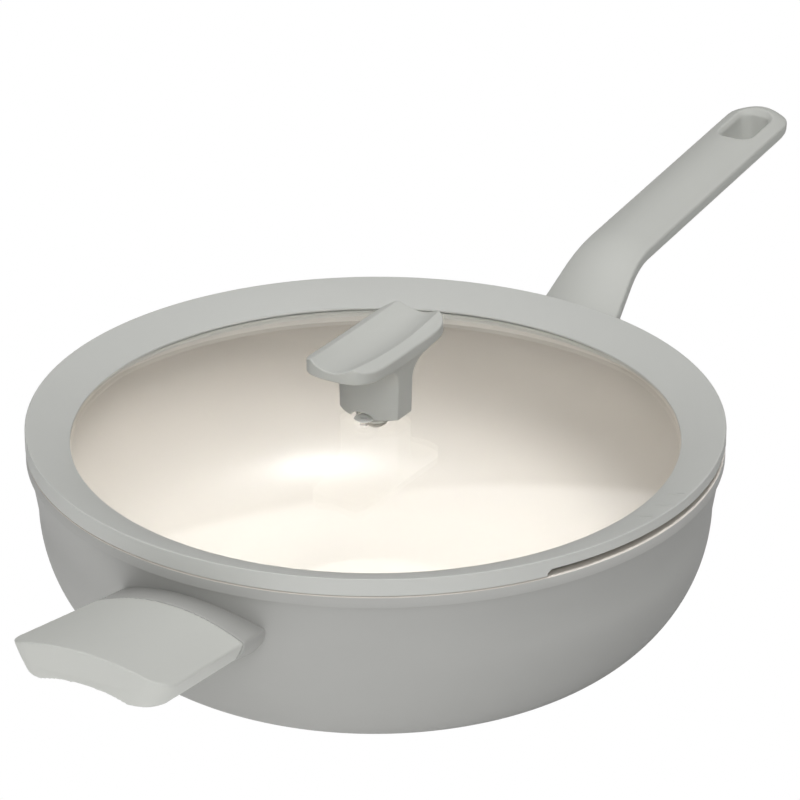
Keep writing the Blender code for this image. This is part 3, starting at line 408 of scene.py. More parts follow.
def brushed_grain(nodes, links):
    """Short scratches: a noise squeezed across the brush."""
    squeeze = nodes.new("ShaderNodeMapping")
    squeeze.inputs["Scale"].default_value = BRUSHED_SQUEEZE
    links.new(own_place(nodes), squeeze.inputs["Vector"])
    return noise(nodes, links, squeeze.outputs["Vector"], BRUSHED_WIDTH)


def metal_finish(name, shade, roughness, grained=brushed_grain):
    look, nodes, links = new_material(name)
    nodes["Principled BSDF"].inputs["Metallic"].default_value = 1.0
    grain = grained(nodes, links)
    tint(nodes, links, grain, shade, METAL_DARKER, 1)
    low, high = roughness * (1 - METAL_SPREAD), roughness * (1 + METAL_SPREAD)
    roughen(nodes, links, grain, low, high, GRAIN_BUMP, METAL_GRAIN_DEPTH)
    return look


STEEL = metal_finish("satin_steel", (205, 204, 200), 0.3)
PLATE_STEEL = metal_finish("turned_plate_steel", (200, 199, 196), 0.34, turned_grain)
BRASS = metal_finish("turned_brass", (214, 180, 110), 0.34, turned_grain)
print("Metals:", STEEL.name, PLATE_STEEL.name, BRASS.name)

# %% [markdown]
# ## Glass
#
# Clear tempered glass bends light and mirrors it at a slant. A plain glass shader would also throw dark
# shadows into the pan, because lamp light can't be traced through bent glass directly. So the shader is a
# choice: to a shadow ray the glass is transparent, and to every other ray it is glass. A faint waviness
# from the tempering oven bends the mirrored card a little.

# %% Glass
GLASS_TINT = (0.985, 0.992, 0.988, 1)
GLASS_SHADOW_TINT = (0.97, 0.98, 0.975, 1)
GLASS_IOR = 1.5
GLASS_WAVE_WIDTH = 60 * MM
GLASS_WAVE_DEPTH = 0.02 * MM
GLASS_WAVE_BUMP = 0.3
GLASS_ROUGHNESS = (0.01, 0.03)


def clear_glass():
    look, nodes, links = new_material("clear_tempered_glass")
    shader = nodes["Principled BSDF"]
    shader.inputs["Base Color"].default_value = GLASS_TINT
    shader.inputs["IOR"].default_value = GLASS_IOR
    shader.inputs["Transmission Weight"].default_value = 1.0
    waves = noise(nodes, links, own_place(nodes), GLASS_WAVE_WIDTH, 1.0)
    roughen(nodes, links, waves, *GLASS_ROUGHNESS, GLASS_WAVE_BUMP, GLASS_WAVE_DEPTH)
    clear = nodes.new("ShaderNodeBsdfTransparent")
    clear.inputs["Color"].default_value = GLASS_SHADOW_TINT
    choose_by_ray(nodes, links, "Is Shadow Ray", shader, clear, nodes["Material Output"])
    return look


GLASS = clear_glass()
print("Glass:", GLASS.name)

# %% [markdown]
# ## Turned shapes
#
# The pan body, the rim and the glass are all turned: one half outline, swept once round a vertical axis.
# A Screw modifier could do it. Here the outline is drawn as by hand, from a plane merged to one vertex
# that is then extruded from point to point, and the Spin operator takes it round. Its last ring falls on
# its first, so doubles are merged before the normals are made to point outwards.

# %% Helpers for turned shapes
TURN_STEPS = 256
MERGE_WITHIN = 0.001 * MM


def arc(centre, reach, start, end, count):
    """Points on an ellipse after the start angle, up to the end angle."""
    made = []
    for i in range(1, count + 1):
        angle = start + (end - start) * i / count
        made.append((centre[0] + reach[0] * cos(angle), centre[1] + reach[1] * sin(angle)))
    return made


def shares(count):
    """Evenly spaced shares from 0 to 1, both included."""
    return [i / (count - 1) for i in range(count)]


def turned(name, outline, steps=TURN_STEPS):
    """Draws an outline of (radius, height) points and spins it round Z into a closed skin."""
    deselect_all()
    bpy.ops.mesh.primitive_plane_add(size=MM, enter_editmode=True, location=(0, 0, 0))
    bpy.ops.mesh.merge(type="CENTER")
    bpy.ops.transform.translate(value=(outline[0][0], 0, outline[0][1]))
    for (r1, z1), (r2, z2) in zip(outline, outline[1:]):
        bpy.ops.mesh.extrude_vertices_move(TRANSFORM_OT_translate={"value": (r2 - r1, 0, z2 - z1)})
    bpy.ops.mesh.select_all(action="SELECT")
    bpy.ops.mesh.spin(steps=steps, angle=2 * pi, center=(0, 0, 0), axis=(0, 0, 1))
    bpy.ops.mesh.select_all(action="SELECT")
    bpy.ops.mesh.remove_doubles(threshold=MERGE_WITHIN)
    bpy.ops.mesh.normals_make_consistent(inside=False)
    bpy.ops.object.mode_set(mode="OBJECT")
    made = bpy.context.object
    made.name = name
    return made


def make_active(piece):
    """Selects one piece alone, so that operators act on it."""
    deselect_all()
    piece.select_set(True)
    bpy.context.view_layer.objects.active = piece


def apply_modifiers(piece):
    make_active(piece)
    for modifier in list(piece.modifiers):
        bpy.ops.object.modifier_apply(modifier=modifier.name)


def combine(piece, tool, operation="DIFFERENCE"):
    """Cuts a tool out of a piece, or joins it on, and removes the tool."""
    modifier = piece.modifiers.new("combine", "BOOLEAN")
    modifier.operation = operation
    modifier.solver = "EXACT"
    modifier.object = tool
    apply_modifiers(piece)
    bpy.data.objects.remove(tool)


def smooth_shade(piece, sharp_from):
    make_active(piece)
    bpy.ops.object.shade_smooth_by_angle(angle=sharp_from)


def place_piece(piece, body, node, slot, *looks):
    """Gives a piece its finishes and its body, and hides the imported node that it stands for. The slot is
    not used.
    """
    piece.data.materials.clear()
    for look in looks:
        piece.data.materials.append(look)
    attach(piece, body)
    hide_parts(node)
    print(piece.name, "has", len(piece.data.polygons), "faces and stands for", node)


# %% [markdown]
# ## The pan body
#
# The body is cast or pressed aluminium: nearly upright walls, a deep round corner, a flat floor, and a
# band with a small step round the mouth. The outline runs from the floor's centre out and up the inside,
# over the lip, and down the outside to the base, where a shallow recess takes a steel disc. The corner is
# a quarter of an ellipse. The inside and the lip's top have a cream ceramic coat and the outside a grey
# one, so the faces are sorted by the way they look: inwards or up is ceramic, the rest is grey.

# %% Pan body
PAN_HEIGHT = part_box("pan_body")[1].z
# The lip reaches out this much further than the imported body's, so that it is flush with the ring.
LIP_PROUD = 0.8 * MM
LIP_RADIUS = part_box("pan_body")[1].x + LIP_PROUD
LIP_WIDTH = 5.8 * MM
LIP_ROUND = 0.8 * MM
LIP_INNER_ROUND = 1.6 * MM
BAND_HEIGHT = 5.3 * MM
BAND_STEP = 1.4 * MM
BAND_ROUND = 0.3 * MM
BAND_FILLET = (0.3 * MM, 0.4 * MM)
SHOULDER_HEIGHT = 61.2 * MM
WALL_LEAN = 3.3 * MM
CORNER_REACH = 57.0 * MM
CORNER_SINK = 1.4 * MM
CORNER_POINTS = 36
# The corner's arc ends at this share of its way, and a small round over one more point closes it.
CORNER_SHARE = 0.96
BASE_ROUND = 3.0 * MM
BASE_ROUND_MIDDLE = (0.45, 0.28)
WALL_THICKNESS = 4.0 * MM
FLOOR_THICKNESS = 5.0 * MM
CLEARANCE = 0.3 * MM
CERAMIC_UPWARDS = 0.3
CERAMIC_INWARDS = 0.01
PAN_SHARP_FROM = radians(38)
PLATE_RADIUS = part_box("induction_plate")[1].x
PLATE_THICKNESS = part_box("induction_plate")[1].z
BAND_FOOT = PAN_HEIGHT - BAND_HEIGHT
WALL_FOOT_RADIUS = LIP_RADIUS - BAND_STEP - WALL_LEAN
CORNER_CENTRE = (WALL_FOOT_RADIUS - CORNER_REACH, SHOULDER_HEIGHT)
MOUTH_RADIUS = LIP_RADIUS - LIP_WIDTH


def outer_wall(grow=0.0):
    """The outside below the band, down the wall and round the corner, pushed out by grow."""
    drop = SHOULDER_HEIGHT + CORNER_SINK
    wall_top = LIP_RADIUS - BAND_STEP + grow
    wall = [(wall_top + BAND_FILLET[0], BAND_FOOT), (wall_top, BAND_FOOT - BAND_FILLET[1])]
    wall.append((WALL_FOOT_RADIUS + grow, SHOULDER_HEIGHT))
    last = -asin(SHOULDER_HEIGHT / drop) * CORNER_SHARE
    return wall + arc(CORNER_CENTRE, (CORNER_REACH + grow, drop + grow), 0, last, CORNER_POINTS)


def pan_outline():
    """From the floor's centre up the inside, over the lip and down to the base's recess."""
    inner_reach = (CORNER_REACH - WALL_THICKNESS, SHOULDER_HEIGHT - FLOOR_THICKNESS)
    outline = [(share * CORNER_CENTRE[0], FLOOR_THICKNESS) for share in shares(3)]
    outline += arc(CORNER_CENTRE, inner_reach, -pi / 2, 0, CORNER_POINTS)
    outline.append((MOUTH_RADIUS, BAND_FOOT))
    bend = LIP_INNER_ROUND
    outline += arc((MOUTH_RADIUS + bend, PAN_HEIGHT - bend), (bend, bend), pi, pi / 2, 8)
    bend = LIP_ROUND
    outline.append((LIP_RADIUS - bend, PAN_HEIGHT))
    outline += arc((LIP_RADIUS - bend, PAN_HEIGHT - bend), (bend, bend), pi / 2, 0, 6)
    bend = BAND_ROUND
    outline.append((LIP_RADIUS, BAND_FOOT + bend))
    outline += arc((LIP_RADIUS - bend, BAND_FOOT + bend), (bend, bend), 0, -pi / 2, 3)
    outline += outer_wall()
    low_radius, low_height = outline[-1]
    inwards, upwards = BASE_ROUND_MIDDLE
    outline.append((low_radius - BASE_ROUND * inwards, low_height * upwards))
    outline.append((low_radius - BASE_ROUND, 0))
    recess = (PLATE_RADIUS + CLEARANCE, PLATE_THICKNESS + CLEARANCE)
    outline += [(recess[0], 0), recess, (0, recess[1])]
    return outline


def is_ceramic(face):
    above_base = face.center.z > FLOOR_THICKNESS - MM
    sideways = Vector((face.center.x, face.center.y, 0)).normalized().dot(face.normal)
    return above_base and (face.normal.z > CERAMIC_UPWARDS or sideways < -CERAMIC_INWARDS)


pan = turned("pan_shell", pan_outline())
smooth_shade(pan, PAN_SHARP_FROM)
place_piece(pan, "pan", "pan_body", "pan_coat", PAN_COAT, CERAMIC)
for face in pan.data.polygons:
    face.material_index = 1 if is_ceramic(face) else 0
print("Ceramic faces:", sum(face.material_index for face in pan.data.polygons))

# %% [markdown]
# ## The lid's glass
#
# The glass is a shallow dome, cut from a large sphere, with a hole for the knob's screw and a smaller one
# for the steam vent. A sphere primitive could be sliced, but its faces would bunch at the pole. A turned
# outline gives even rings: out along the top, round the edge, and back along the underside.

# %% Lid glass
GLASS_THICKNESS = 4.0 * MM
GLASS_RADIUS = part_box("lid_glass")[1].x
DOME_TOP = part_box("lid_glass")[1].z
DOME_RISE = 10.6 * MM
RIM_INNER_RADIUS = 129.1 * MM
DOME_RADIUS = (RIM_INNER_RADIUS**2 + DOME_RISE**2) / (2 * DOME_RISE)
KNOB_HOLE_RADIUS = 3.2 * MM
VENT_OFFSET = 8.8 * MM
VENT_HOLE_RADIUS = 2.0 * MM
TOOL_REACH = 20 * MM
GLASS_TURN_STEPS = 192
GLASS_SHARP_FROM = radians(30)
HOLE_SIDES = 48


def dome(radius):
    """The height of the glass's upper face at a radius."""
    return DOME_TOP - (DOME_RADIUS - sqrt(DOME_RADIUS**2 - radius**2))


def glass_outline(rings=36):
    edge = GLASS_THICKNESS / 3
    flat_end = GLASS_RADIUS - edge
    radii = [KNOB_HOLE_RADIUS + (flat_end - KNOB_HOLE_RADIUS) * share for share in shares(rings + 1)]
    corner = (flat_end, dome(GLASS_RADIUS) - edge)
    low_corner = (flat_end, dome(GLASS_RADIUS) - GLASS_THICKNESS + edge)
    outline = [(r, dome(r)) for r in radii]
    outline += arc(corner, (edge, edge), pi / 2, 0, 6)[1:]
    outline += [(GLASS_RADIUS, low_corner[1])] + arc(low_corner, (edge, edge), 0, -pi / 2, 6)[:-1]
    outline += [(r, dome(r) - GLASS_THICKNESS) for r in reversed(radii)]
    return outline + outline[:1]


def round_tool(radius, depth, middle, slope=0.0, sides=64):
    """A round bar to cut with. A slope tips it about Y."""
    deselect_all()
    bpy.ops.mesh.primitive_cylinder_add(
        vertices=sides, radius=radius, depth=depth, location=middle, rotation=(0, -slope, 0)
    )
    return bpy.context.object


glass = turned("lid_pane", glass_outline(), GLASS_TURN_STEPS)
combine(glass, round_tool(VENT_HOLE_RADIUS, TOOL_REACH, (-VENT_OFFSET, 0, DOME_TOP), sides=HOLE_SIDES))
smooth_shade(glass, GLASS_SHARP_FROM)
place_piece(glass, "lid", "lid_glass", "lid_glass", GLASS)

# %% [markdown]
# ## Lofted shapes
#
# The rim's cutters, the knob and both handles change their section along their length, so no spin can
# make them. Each is a loft, a skin drawn through slices. It could come from a bridge between edge loops,
# but extruding a face again and again, and setting its corners to the next slice each time, gives full
# control of every slice.

# %% Helpers for lofted shapes


def set_selected(points):
    """Moves the selected vertices, in their own order, to the points of one slice."""
    mesh = bpy.context.object.data
    bm = bmesh.from_edit_mesh(mesh)
    for vert, point in zip([vert for vert in bm.verts if vert.select], points):
        vert.co = point
    bmesh.update_edit_mesh(mesh)


def lofted(name, slices):
    """A closed skin through slices that have the same number of points."""
    deselect_all()
    count = len(slices[0])
    bpy.ops.mesh.primitive_circle_add(
        vertices=count, radius=MM, fill_type="NGON", enter_editmode=True, location=(0, 0, 0)
    )
    set_selected(slices[0])
    for points in slices[1:]:
        bpy.ops.mesh.extrude_region_move()
        set_selected(points)
    bpy.ops.mesh.select_all(action="SELECT")
    bpy.ops.mesh.normals_make_consistent(inside=False)
    bpy.ops.object.mode_set(mode="OBJECT")
    made = bpy.context.object
    made.name = name
    return made


def between(start, end, share):
    return start + (end - start) * share


def closing(start, length, count):
    """Stations over a length that come ever closer, for a rounded end."""
    return [start + length * sin(pi / 2 * share) for share in shares(count + 1)[1:]]


def both_halves(right):
    """A slice's whole outline, from its right half and the same mirrored."""
    return right + [(-across, height) for across, height in reversed(right)]


# %% [markdown]
# ## The lid's rim
#
# The rim is one silicone ring. Its groove grips the glass, its seat rests on the pan's lip, and its plug
# reaches into the mouth. Its top falls inwards to meet the glass. A torus could be squashed into that
# section, but a turned outline gives every edge its own place and round.

# %% Lid rim
RIM_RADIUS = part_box("lid_rim")[1].x
RIM_SEAT = PAN_HEIGHT + CLEARANCE
RIM_FALL = 6.9 * MM
RIM_INNER_TOP = RIM_TOP - RIM_FALL
RIM_EDGE = 0.45 * MM
RIM_CREST = (RIM_RADIUS - 2 * RIM_EDGE, RIM_TOP - RIM_EDGE / 4)
RIM_EDGE_FLATTENING = 0.95
RIM_EDGE_START = 0.55 * pi
RIM_LIP = 1.0 * MM
RIM_FINE_ROUND = 0.35 * MM
RIM_INNER_DROP = 0.21 * MM
RIM_INNER_END = 0.62 * pi
RIM_INSET_UNDER_GLASS = 2.4 * MM
RIM_OVERLAP_SHARES = (0, 0.3, 0.6, 1)
PLUG_GAP = 0.9 * MM
PLUG_RADIUS = MOUTH_RADIUS - PLUG_GAP
PLUG_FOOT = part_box("lid_rim")[0].z
PLUG_FOOT_WIDTH = 5.0 * MM
PLUG_TAPER = 0.4 * MM
PLUG_CORNER = 1.0 * MM
PLUG_OUTER_ROUND = (0.5 * MM, 0.6 * MM)
PLUG_INNER_ROUND = (0.7 * MM, 0.5 * MM)


def rim_outline():
    """From the inner edge over the top, down the skirt to the seat, round the plug and into the groove."""
    grip_low = RIM_INNER_RADIUS + RIM_INSET_UNDER_GLASS
    groove = GLASS_RADIUS + CLEARANCE
    under = GLASS_THICKNESS + CLEARANCE
    fine = RIM_FINE_ROUND
    edge = (RIM_RADIUS - RIM_EDGE, RIM_TOP - RIM_EDGE)
    inner_edge = (RIM_INNER_RADIUS + fine, RIM_INNER_TOP - RIM_INNER_DROP)
    outline = arc(inner_edge, (fine, fine), pi, RIM_INNER_END, 4)
    outline.append(RIM_CREST)
    outline += arc(edge, (RIM_EDGE, RIM_EDGE * RIM_EDGE_FLATTENING), RIM_EDGE_START, 0, 7)
    outline += arc((RIM_RADIUS - fine, RIM_SEAT + fine), (fine, fine), 0, -pi / 2, 4)
    outline += [(PLUG_RADIUS, RIM_SEAT), (PLUG_RADIUS - PLUG_TAPER, PLUG_FOOT + PLUG_CORNER)]
    outer = (PLUG_RADIUS - PLUG_CORNER, PLUG_FOOT + PLUG_OUTER_ROUND[1])
    inner = (PLUG_RADIUS - PLUG_FOOT_WIDTH, PLUG_FOOT + PLUG_INNER_ROUND[1])
    outline += arc(outer, PLUG_OUTER_ROUND, 0, -pi / 2, 4)
    outline += arc(inner, PLUG_INNER_ROUND, -pi / 2, -pi, 4)
    outline.append((grip_low, dome(grip_low) - under - RIM_LIP))
    for share in shares(3):
        radius = between(grip_low, groove, share)
        outline.append((radius, dome(radius) - under))
    for share in RIM_OVERLAP_SHARES:
        radius = between(groove, RIM_INNER_RADIUS, share)
        outline.append((radius, dome(radius) + CLEARANCE))
    return outline + outline[:1]


rim = turned("lid_ring", rim_outline())
print("The ring's outline has", len(rim_outline()) - 1, "corners")

# %% [markdown]
# ## The pour slot and its marks
#
# On one side the ring's skirt is cut away over the lip, and behind the gap a channel runs down the plug,
# so liquid can be poured off with the lid on. Three short strokes pressed into the top mark that place.
# Edge loops could be cut into the ring for them, but a Boolean with a lofted cutter leaves the ring's
# even steps alone. The slot's cutter follows the ring, and its roof comes down at both ends in a round.

# %% Pour slot and strokes
SLOT_BEARING = radians(-91.9)
SLOT_ANGLE = radians(57.6)
SLOT_HEIGHT = 2.95 * MM
SLOT_END_ROUND = 1.6 * MM
CHANNEL_WEB = 1.2 * MM
STROKE_BEARINGS = [SLOT_BEARING + radians(turn) for turn in (-5, 0, 5)]
STROKE_START = 136.4 * MM
STROKE_END = 145.0 * MM
STROKE_SLANT = 1.0 * MM
STROKE_WIDTH = 0.8 * MM
STROKE_DEPTH = 0.35 * MM
STROKE_TIP_FULLNESS = 0.15
STROKE_BELLY_POINTS = 5
RIM_SHARP_FROM = radians(28)


def slot_slices(count=73):
    """The gap over the lip and the channel down the plug, from end to end round the rim."""
    channel = GLASS_RADIUS + CLEARANCE + CHANNEL_WEB
    low = PLUG_FOOT - MM
    past = RIM_RADIUS + MM
    made = []
    for share in shares(count):
        angle = SLOT_BEARING + SLOT_ANGLE * (share - 0.5)
        from_end = min(share, 1 - share) * SLOT_ANGLE * RIM_RADIUS
        rounding = max(0.0, 1 - from_end / SLOT_END_ROUND)
        crest = RIM_SEAT + SLOT_HEIGHT - SLOT_END_ROUND * (1 - sqrt(1 - rounding**2))
        corners = ((channel, low), (past, low), (past, crest), (channel, crest))
        made.append([(r * cos(angle), r * sin(angle), z) for r, z in corners])
    return made


def rim_top_height(radius):
    """The height of the rim's sloping top."""
    share = (radius - RIM_INNER_RADIUS) / (RIM_CREST[0] - RIM_INNER_RADIUS)
    return between(RIM_INNER_TOP, RIM_CREST[1], share)


def stroke_slices(bearing, count=17):
    """A slim bar with round ends and a round belly, sunk into the rim's top along a radius."""
    made = []
    out = Vector((cos(bearing), sin(bearing), 0))
    side = Vector((-sin(bearing), cos(bearing), 0))
    length = STROKE_END - STROKE_START
    for share in shares(count):
        radius = between(STROKE_START, STROKE_END, share)
        to_end = min(share, 1 - share) * length
        taper = max(0.0, 1 - to_end / (STROKE_WIDTH / 2))
        fullness = max(sqrt(1 - taper**2), STROKE_TIP_FULLNESS)
        half = STROKE_WIDTH / 2 * fullness
        middle = out * radius - side * STROKE_SLANT * (share - 0.5)
        top = rim_top_height(radius)
        above = Vector((0, 0, top + MM))
        points = [middle + side * half + above, middle - side * half + above]
        for turn in shares(STROKE_BELLY_POINTS):
            angle = pi + pi * turn
            drop = STROKE_DEPTH * fullness * sin(angle)
            points.append(middle + side * half * cos(angle) + Vector((0, 0, top + drop)))
        made.append(points)
    return made


combine(rim, lofted("slot_cutter", slot_slices()))
for bearing in STROKE_BEARINGS:
    combine(rim, lofted("stroke_cutter", stroke_slices(bearing)))
smooth_shade(rim, RIM_SHARP_FROM)
place_piece(rim, "lid", "lid_rim", "rim_silicone", RIM_SILICONE)

# %% [markdown]
# ## A lamp for the bowl alone
#
# In the picture the pan's floor is much brighter than its walls, and brightest at the left. A stronger
# lamp overhead would do that, but it would also bleach the rim. Light linking limits a lamp to the
# objects in a collection. Here one collection holds what the lamp lights, and another what throws a
# shadow for it. The lamp stands high to the right of the pan, so the wall below it stays in the shade.

# %% Light the bowl
BOWL_LAMP_BEARING = radians(272)
BOWL_LAMP_HEIGHT = radians(76)
BOWL_LAMP_DISTANCE = 1.6
BOWL_LAMP_WIDTH = 0.45
BOWL_LAMP_WATTS = 21


def collection_of(name, *pieces):
    made = bpy.data.collections.new(name)
    for piece in pieces:
        made.objects.link(piece)
    return made


bowl_lamp = soft_lamp(
    "bowl_lamp", BOWL_LAMP_BEARING, BOWL_LAMP_HEIGHT, BOWL_LAMP_DISTANCE, BOWL_LAMP_WIDTH, BOWL_LAMP_WATTS
)
bowl_lamp.light_linking.receiver_collection = collection_of("lit_by_bowl_lamp", pan)
bowl_lamp.light_linking.blocker_collection = collection_of("shading_the_bowl", pan, rim)
print("The bowl's lamp is", round(bowl_lamp.location.z, 2), "m up")

# %% [markdown]
# ## The knob
#
# The knob is moulded in one piece and has a soft-touch skin. Its bar is broad and low, with a shallow
# trough along the top for the fingers, bowed ends and rounded shoulders, and its foot is a barrel that
# flares out under the bar. Sculpting could make it, by pushing the surface about. Here both forms are
# lofts of formula slices, so their sizes stay known. This is the bar: each slice is one section across
# it.

# %% The knob's bar
KNOB_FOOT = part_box("lid_knob")[0].z
KNOB_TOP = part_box("lid_knob")[1].z
KNOB_LENGTH = 2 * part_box("lid_knob")[1].x
KNOB_WIDTH = 2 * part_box("lid_knob")[1].y
KNOB_END_FULLNESS = 7.2
KNOB_SIDE_FULLNESS = 3.0
KNOB_END_LIFT = 1.7 * MM
KNOB_SHOULDER_CURVE = 1.3
KNOB_SIDE_HEIGHT = 5.2 * MM
KNOB_SHOULDER_FALL = 2.1 * MM
KNOB_EDGE = 0.7 * MM
KNOB_BELLY = 1.2 * MM
KNOB_TIP_HALF_WIDTH = 1.5 * MM
# The edge is softened over these shares of it, inwards and down.
KNOB_EDGE_IN = 0.3
KNOB_EDGE_DOWN = 0.6
KNOB_SHOULDER_SHARES = (0.3, 0.6, 0.85, 1)
KNOB_BELLY_SHARES = (1, 0.8, 0.6, 0.4, 0.2)
TROUGH_WIDTH = 23.4 * MM
TROUGH_TAPER = 3.6 * MM
TROUGH_DEPTH = 3.3 * MM
TROUGH_POINTS = 11


def bar_slice(along):
    """One slice across the bar: trough, crests, shoulders, sides and rounded belly."""
    reach = min(abs(along) / (KNOB_LENGTH / 2), 1.0)
    fullness = (1 - reach**KNOB_END_FULLNESS) ** (1 / KNOB_SIDE_FULLNESS)
    half = max(KNOB_WIDTH / 2 * fullness, KNOB_TIP_HALF_WIDTH)
    crest = KNOB_TOP - KNOB_END_LIFT * (1 - reach**2)
    crest_at = TROUGH_WIDTH / 2 - TROUGH_TAPER / 2 * reach**2
    shoulder = (KNOB_WIDTH - TROUGH_WIDTH) / 2
    side_foot = crest - KNOB_SHOULDER_FALL - KNOB_SIDE_HEIGHT

    def top(across):
        if across < crest_at:
            return crest - TROUGH_DEPTH * (1 - (across / crest_at) ** 2)
        return crest - KNOB_SHOULDER_FALL * ((across - crest_at) / shoulder) ** KNOB_SHOULDER_CURVE

    inner = min(crest_at, half - KNOB_EDGE)
    right = [(inner * share, top(inner * share)) for share in shares(TROUGH_POINTS)[1:]]
    outer = half - KNOB_EDGE_IN * KNOB_EDGE
    soft = KNOB_EDGE_DOWN * KNOB_EDGE
    for share in KNOB_SHOULDER_SHARES:
        across = between(inner, outer, share)
        right.append((across, top(across)))
    right += [(half, top(half) - soft), (half, side_foot + soft)]
    for share in KNOB_BELLY_SHARES:
        belly = KNOB_BELLY * (1 - reach**2) * (1 - share**2)
        right.append(((half - soft) * share, side_foot - belly))
    return [(along, y, z) for y, z in both_halves(right)]


def bar_stations(count=40):
    """Places along the bar, closer together towards its ends."""
    one_way = closing(0, KNOB_LENGTH / 2, count)
    return [-along for along in reversed(one_way)] + [0] + one_way


knob = lofted("knob_grip", [bar_slice(along) for along in bar_stations()])
print("The knob's bar is", round(knob.dimensions.x / MM, 1), "mm long")

# %% [markdown]
# ## The knob's foot
#
# Seen from above, the foot has two flat sides and two swollen ends, so each ring is two arcs. Stacked
# rings make the flare under the bar: their growth follows a quarter circle. The foot could be a cylinder
# pulled about, but rings by formula keep the flare even all round.

# %% The knob's foot
FOOT_WIDTH = 28.8 * MM
FOOT_LENGTH = 23.2 * MM
FOOT_FLAT = 10.8 * MM
FOOT_DRAFT = 0.8 * MM
FOOT_SIDE_FLARE = 1.4 * MM
FOOT_END_FLARE = 10.4 * MM
FOOT_FLARE_HEIGHT = 10.0 * MM
FOOT_TOP_SINK = 1.5 * MM
FOOT_FLARE_RINGS = 17


def foot_ring(height, grow, lengthen, points=20):
    """The foot seen from above: flat sides along the bar, and ends that swell out."""
    half_width = FOOT_WIDTH / 2 + grow
    swell = (FOOT_LENGTH - FOOT_FLAT) / 2 + grow
    radius = (half_width**2 + swell**2) / (2 * swell)
    sweep = asin(half_width / radius)
    ring = []
    for side in (1, -1):
        for share in shares(points):
            angle = between(-sweep, sweep, share)
            along = FOOT_FLAT / 2 + swell - radius + radius * cos(angle) + lengthen
            ring.append((side * along, side * radius * sin(angle), height))
    return ring


def foot_slices():
    belly = KNOB_TOP - KNOB_END_LIFT - KNOB_SHOULDER_FALL - KNOB_SIDE_HEIGHT
    flare_foot = belly - FOOT_FLARE_HEIGHT
    made = [foot_ring(KNOB_FOOT, 0, 0)]
    for turn in shares(FOOT_FLARE_RINGS):
        rise = sin(pi / 2 * turn)
        flare = 1 - sqrt(1 - rise**2)
        height = flare_foot + rise * FOOT_FLARE_HEIGHT
        share = (height - KNOB_FOOT) / (belly - KNOB_FOOT)
        grow = FOOT_DRAFT * share + FOOT_SIDE_FLARE * flare
        made.append(foot_ring(height, grow, FOOT_END_FLARE * flare))
    top = KNOB_TOP - KNOB_END_LIFT - TROUGH_DEPTH - FOOT_TOP_SINK
    made.append(foot_ring(top, FOOT_DRAFT + FOOT_SIDE_FLARE - KNOB_EDGE, FOOT_END_FLARE - MM))
    return made


combine(knob, lofted("knob_foot", foot_slices()), "UNION")
print("With its foot it is", round(knob.dimensions.z / MM, 1), "mm high")

# %% [markdown]
# ## The knob's openings and skin
#
# A brass insert is moulded into the foot, so the foot has a bore for it. A small arch at the foot's end
# lets the steam out. A Voxel Remesh then lays one even skin over bar, foot and openings. A Bevel modifier
# would stumble over the many short edges that a Boolean leaves, so a Smooth modifier rounds the edges
# instead, as a mould would.

# %% The knob's openings and skin
NOTCH_WIDTH = 11.0 * MM
NOTCH_HEIGHT = 2.8 * MM
NOTCH_WALL = 1.1 * MM
NOTCH_POINTS = 17
INSERT_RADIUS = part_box("knob_insert")[1].x
INSERT_LENGTH = 11.0 * MM
KNOB_VOXEL = 0.36 * MM
GRIP_PASSES = 5


def notch_slices():
    """The arch at the foot's end, from outside the foot to a thin wall before the insert."""
    half = NOTCH_WIDTH / 2
    turns = [pi * share for share in shares(NOTCH_POINTS)]
    arch = [(half * cos(turn), KNOB_FOOT + NOTCH_HEIGHT * sin(turn)) for turn in turns]
    arch += [(-half, KNOB_FOOT - MM), (half, KNOB_FOOT - MM)]
    inner = -(INSERT_RADIUS + CLEARANCE + NOTCH_WALL)
    outer = -(FOOT_LENGTH / 2 + NOTCH_HEIGHT)
    return [[(x, y, z) for y, z in arch] for x in (outer, inner)]


def remeshed(piece, voxel, passes):
    """Lays one even skin over a piece, and softens its edges."""
    skin = piece.modifiers.new("skin", "REMESH")
    skin.mode = "VOXEL"
    skin.voxel_size = voxel
    soften = piece.modifiers.new("soften", "SMOOTH")
    soften.factor = 0.5
    soften.iterations = passes
    apply_modifiers(piece)
    smooth_shade(piece, pi)


bore_reach = 2 * (INSERT_LENGTH + 2 * CLEARANCE)
combine(knob, round_tool(INSERT_RADIUS + CLEARANCE, bore_reach, (0, 0, KNOB_FOOT), sides=HOLE_SIDES))
combine(knob, lofted("notch_cutter", notch_slices()))
remeshed(knob, KNOB_VOXEL, GRIP_PASSES)
place_piece(knob, "lid", "lid_knob", "grip_soft", SOFT_TOUCH)

# %% [markdown]
# ## The steam vent and the knob's bolt
#
# Steam leaves through a small steel eyelet in the glass, whose rolled collar shows in the arch of the
# knob's foot. Under the glass, a bolt with a low flat head holds the knob, with a socket for its key.
# Both are turned parts, so an outline and a spin make them, as they make the pan.

# %% Vent and bolt
COLLAR_DROP = 0.5 * MM
COLLAR_TOP = KNOB_FOOT - COLLAR_DROP
COLLAR_RADIUS = 4.4 * MM
COLLAR_SIDE = 0.6 * MM
COLLAR_UNDERCUT = 1.2 * MM
COLLAR_GAP = 0.1 * MM
COLLAR_FOOT = 0.3 * MM
COLLAR_SHARP_FROM = radians(40)
VENT_BORE = 1.2 * MM
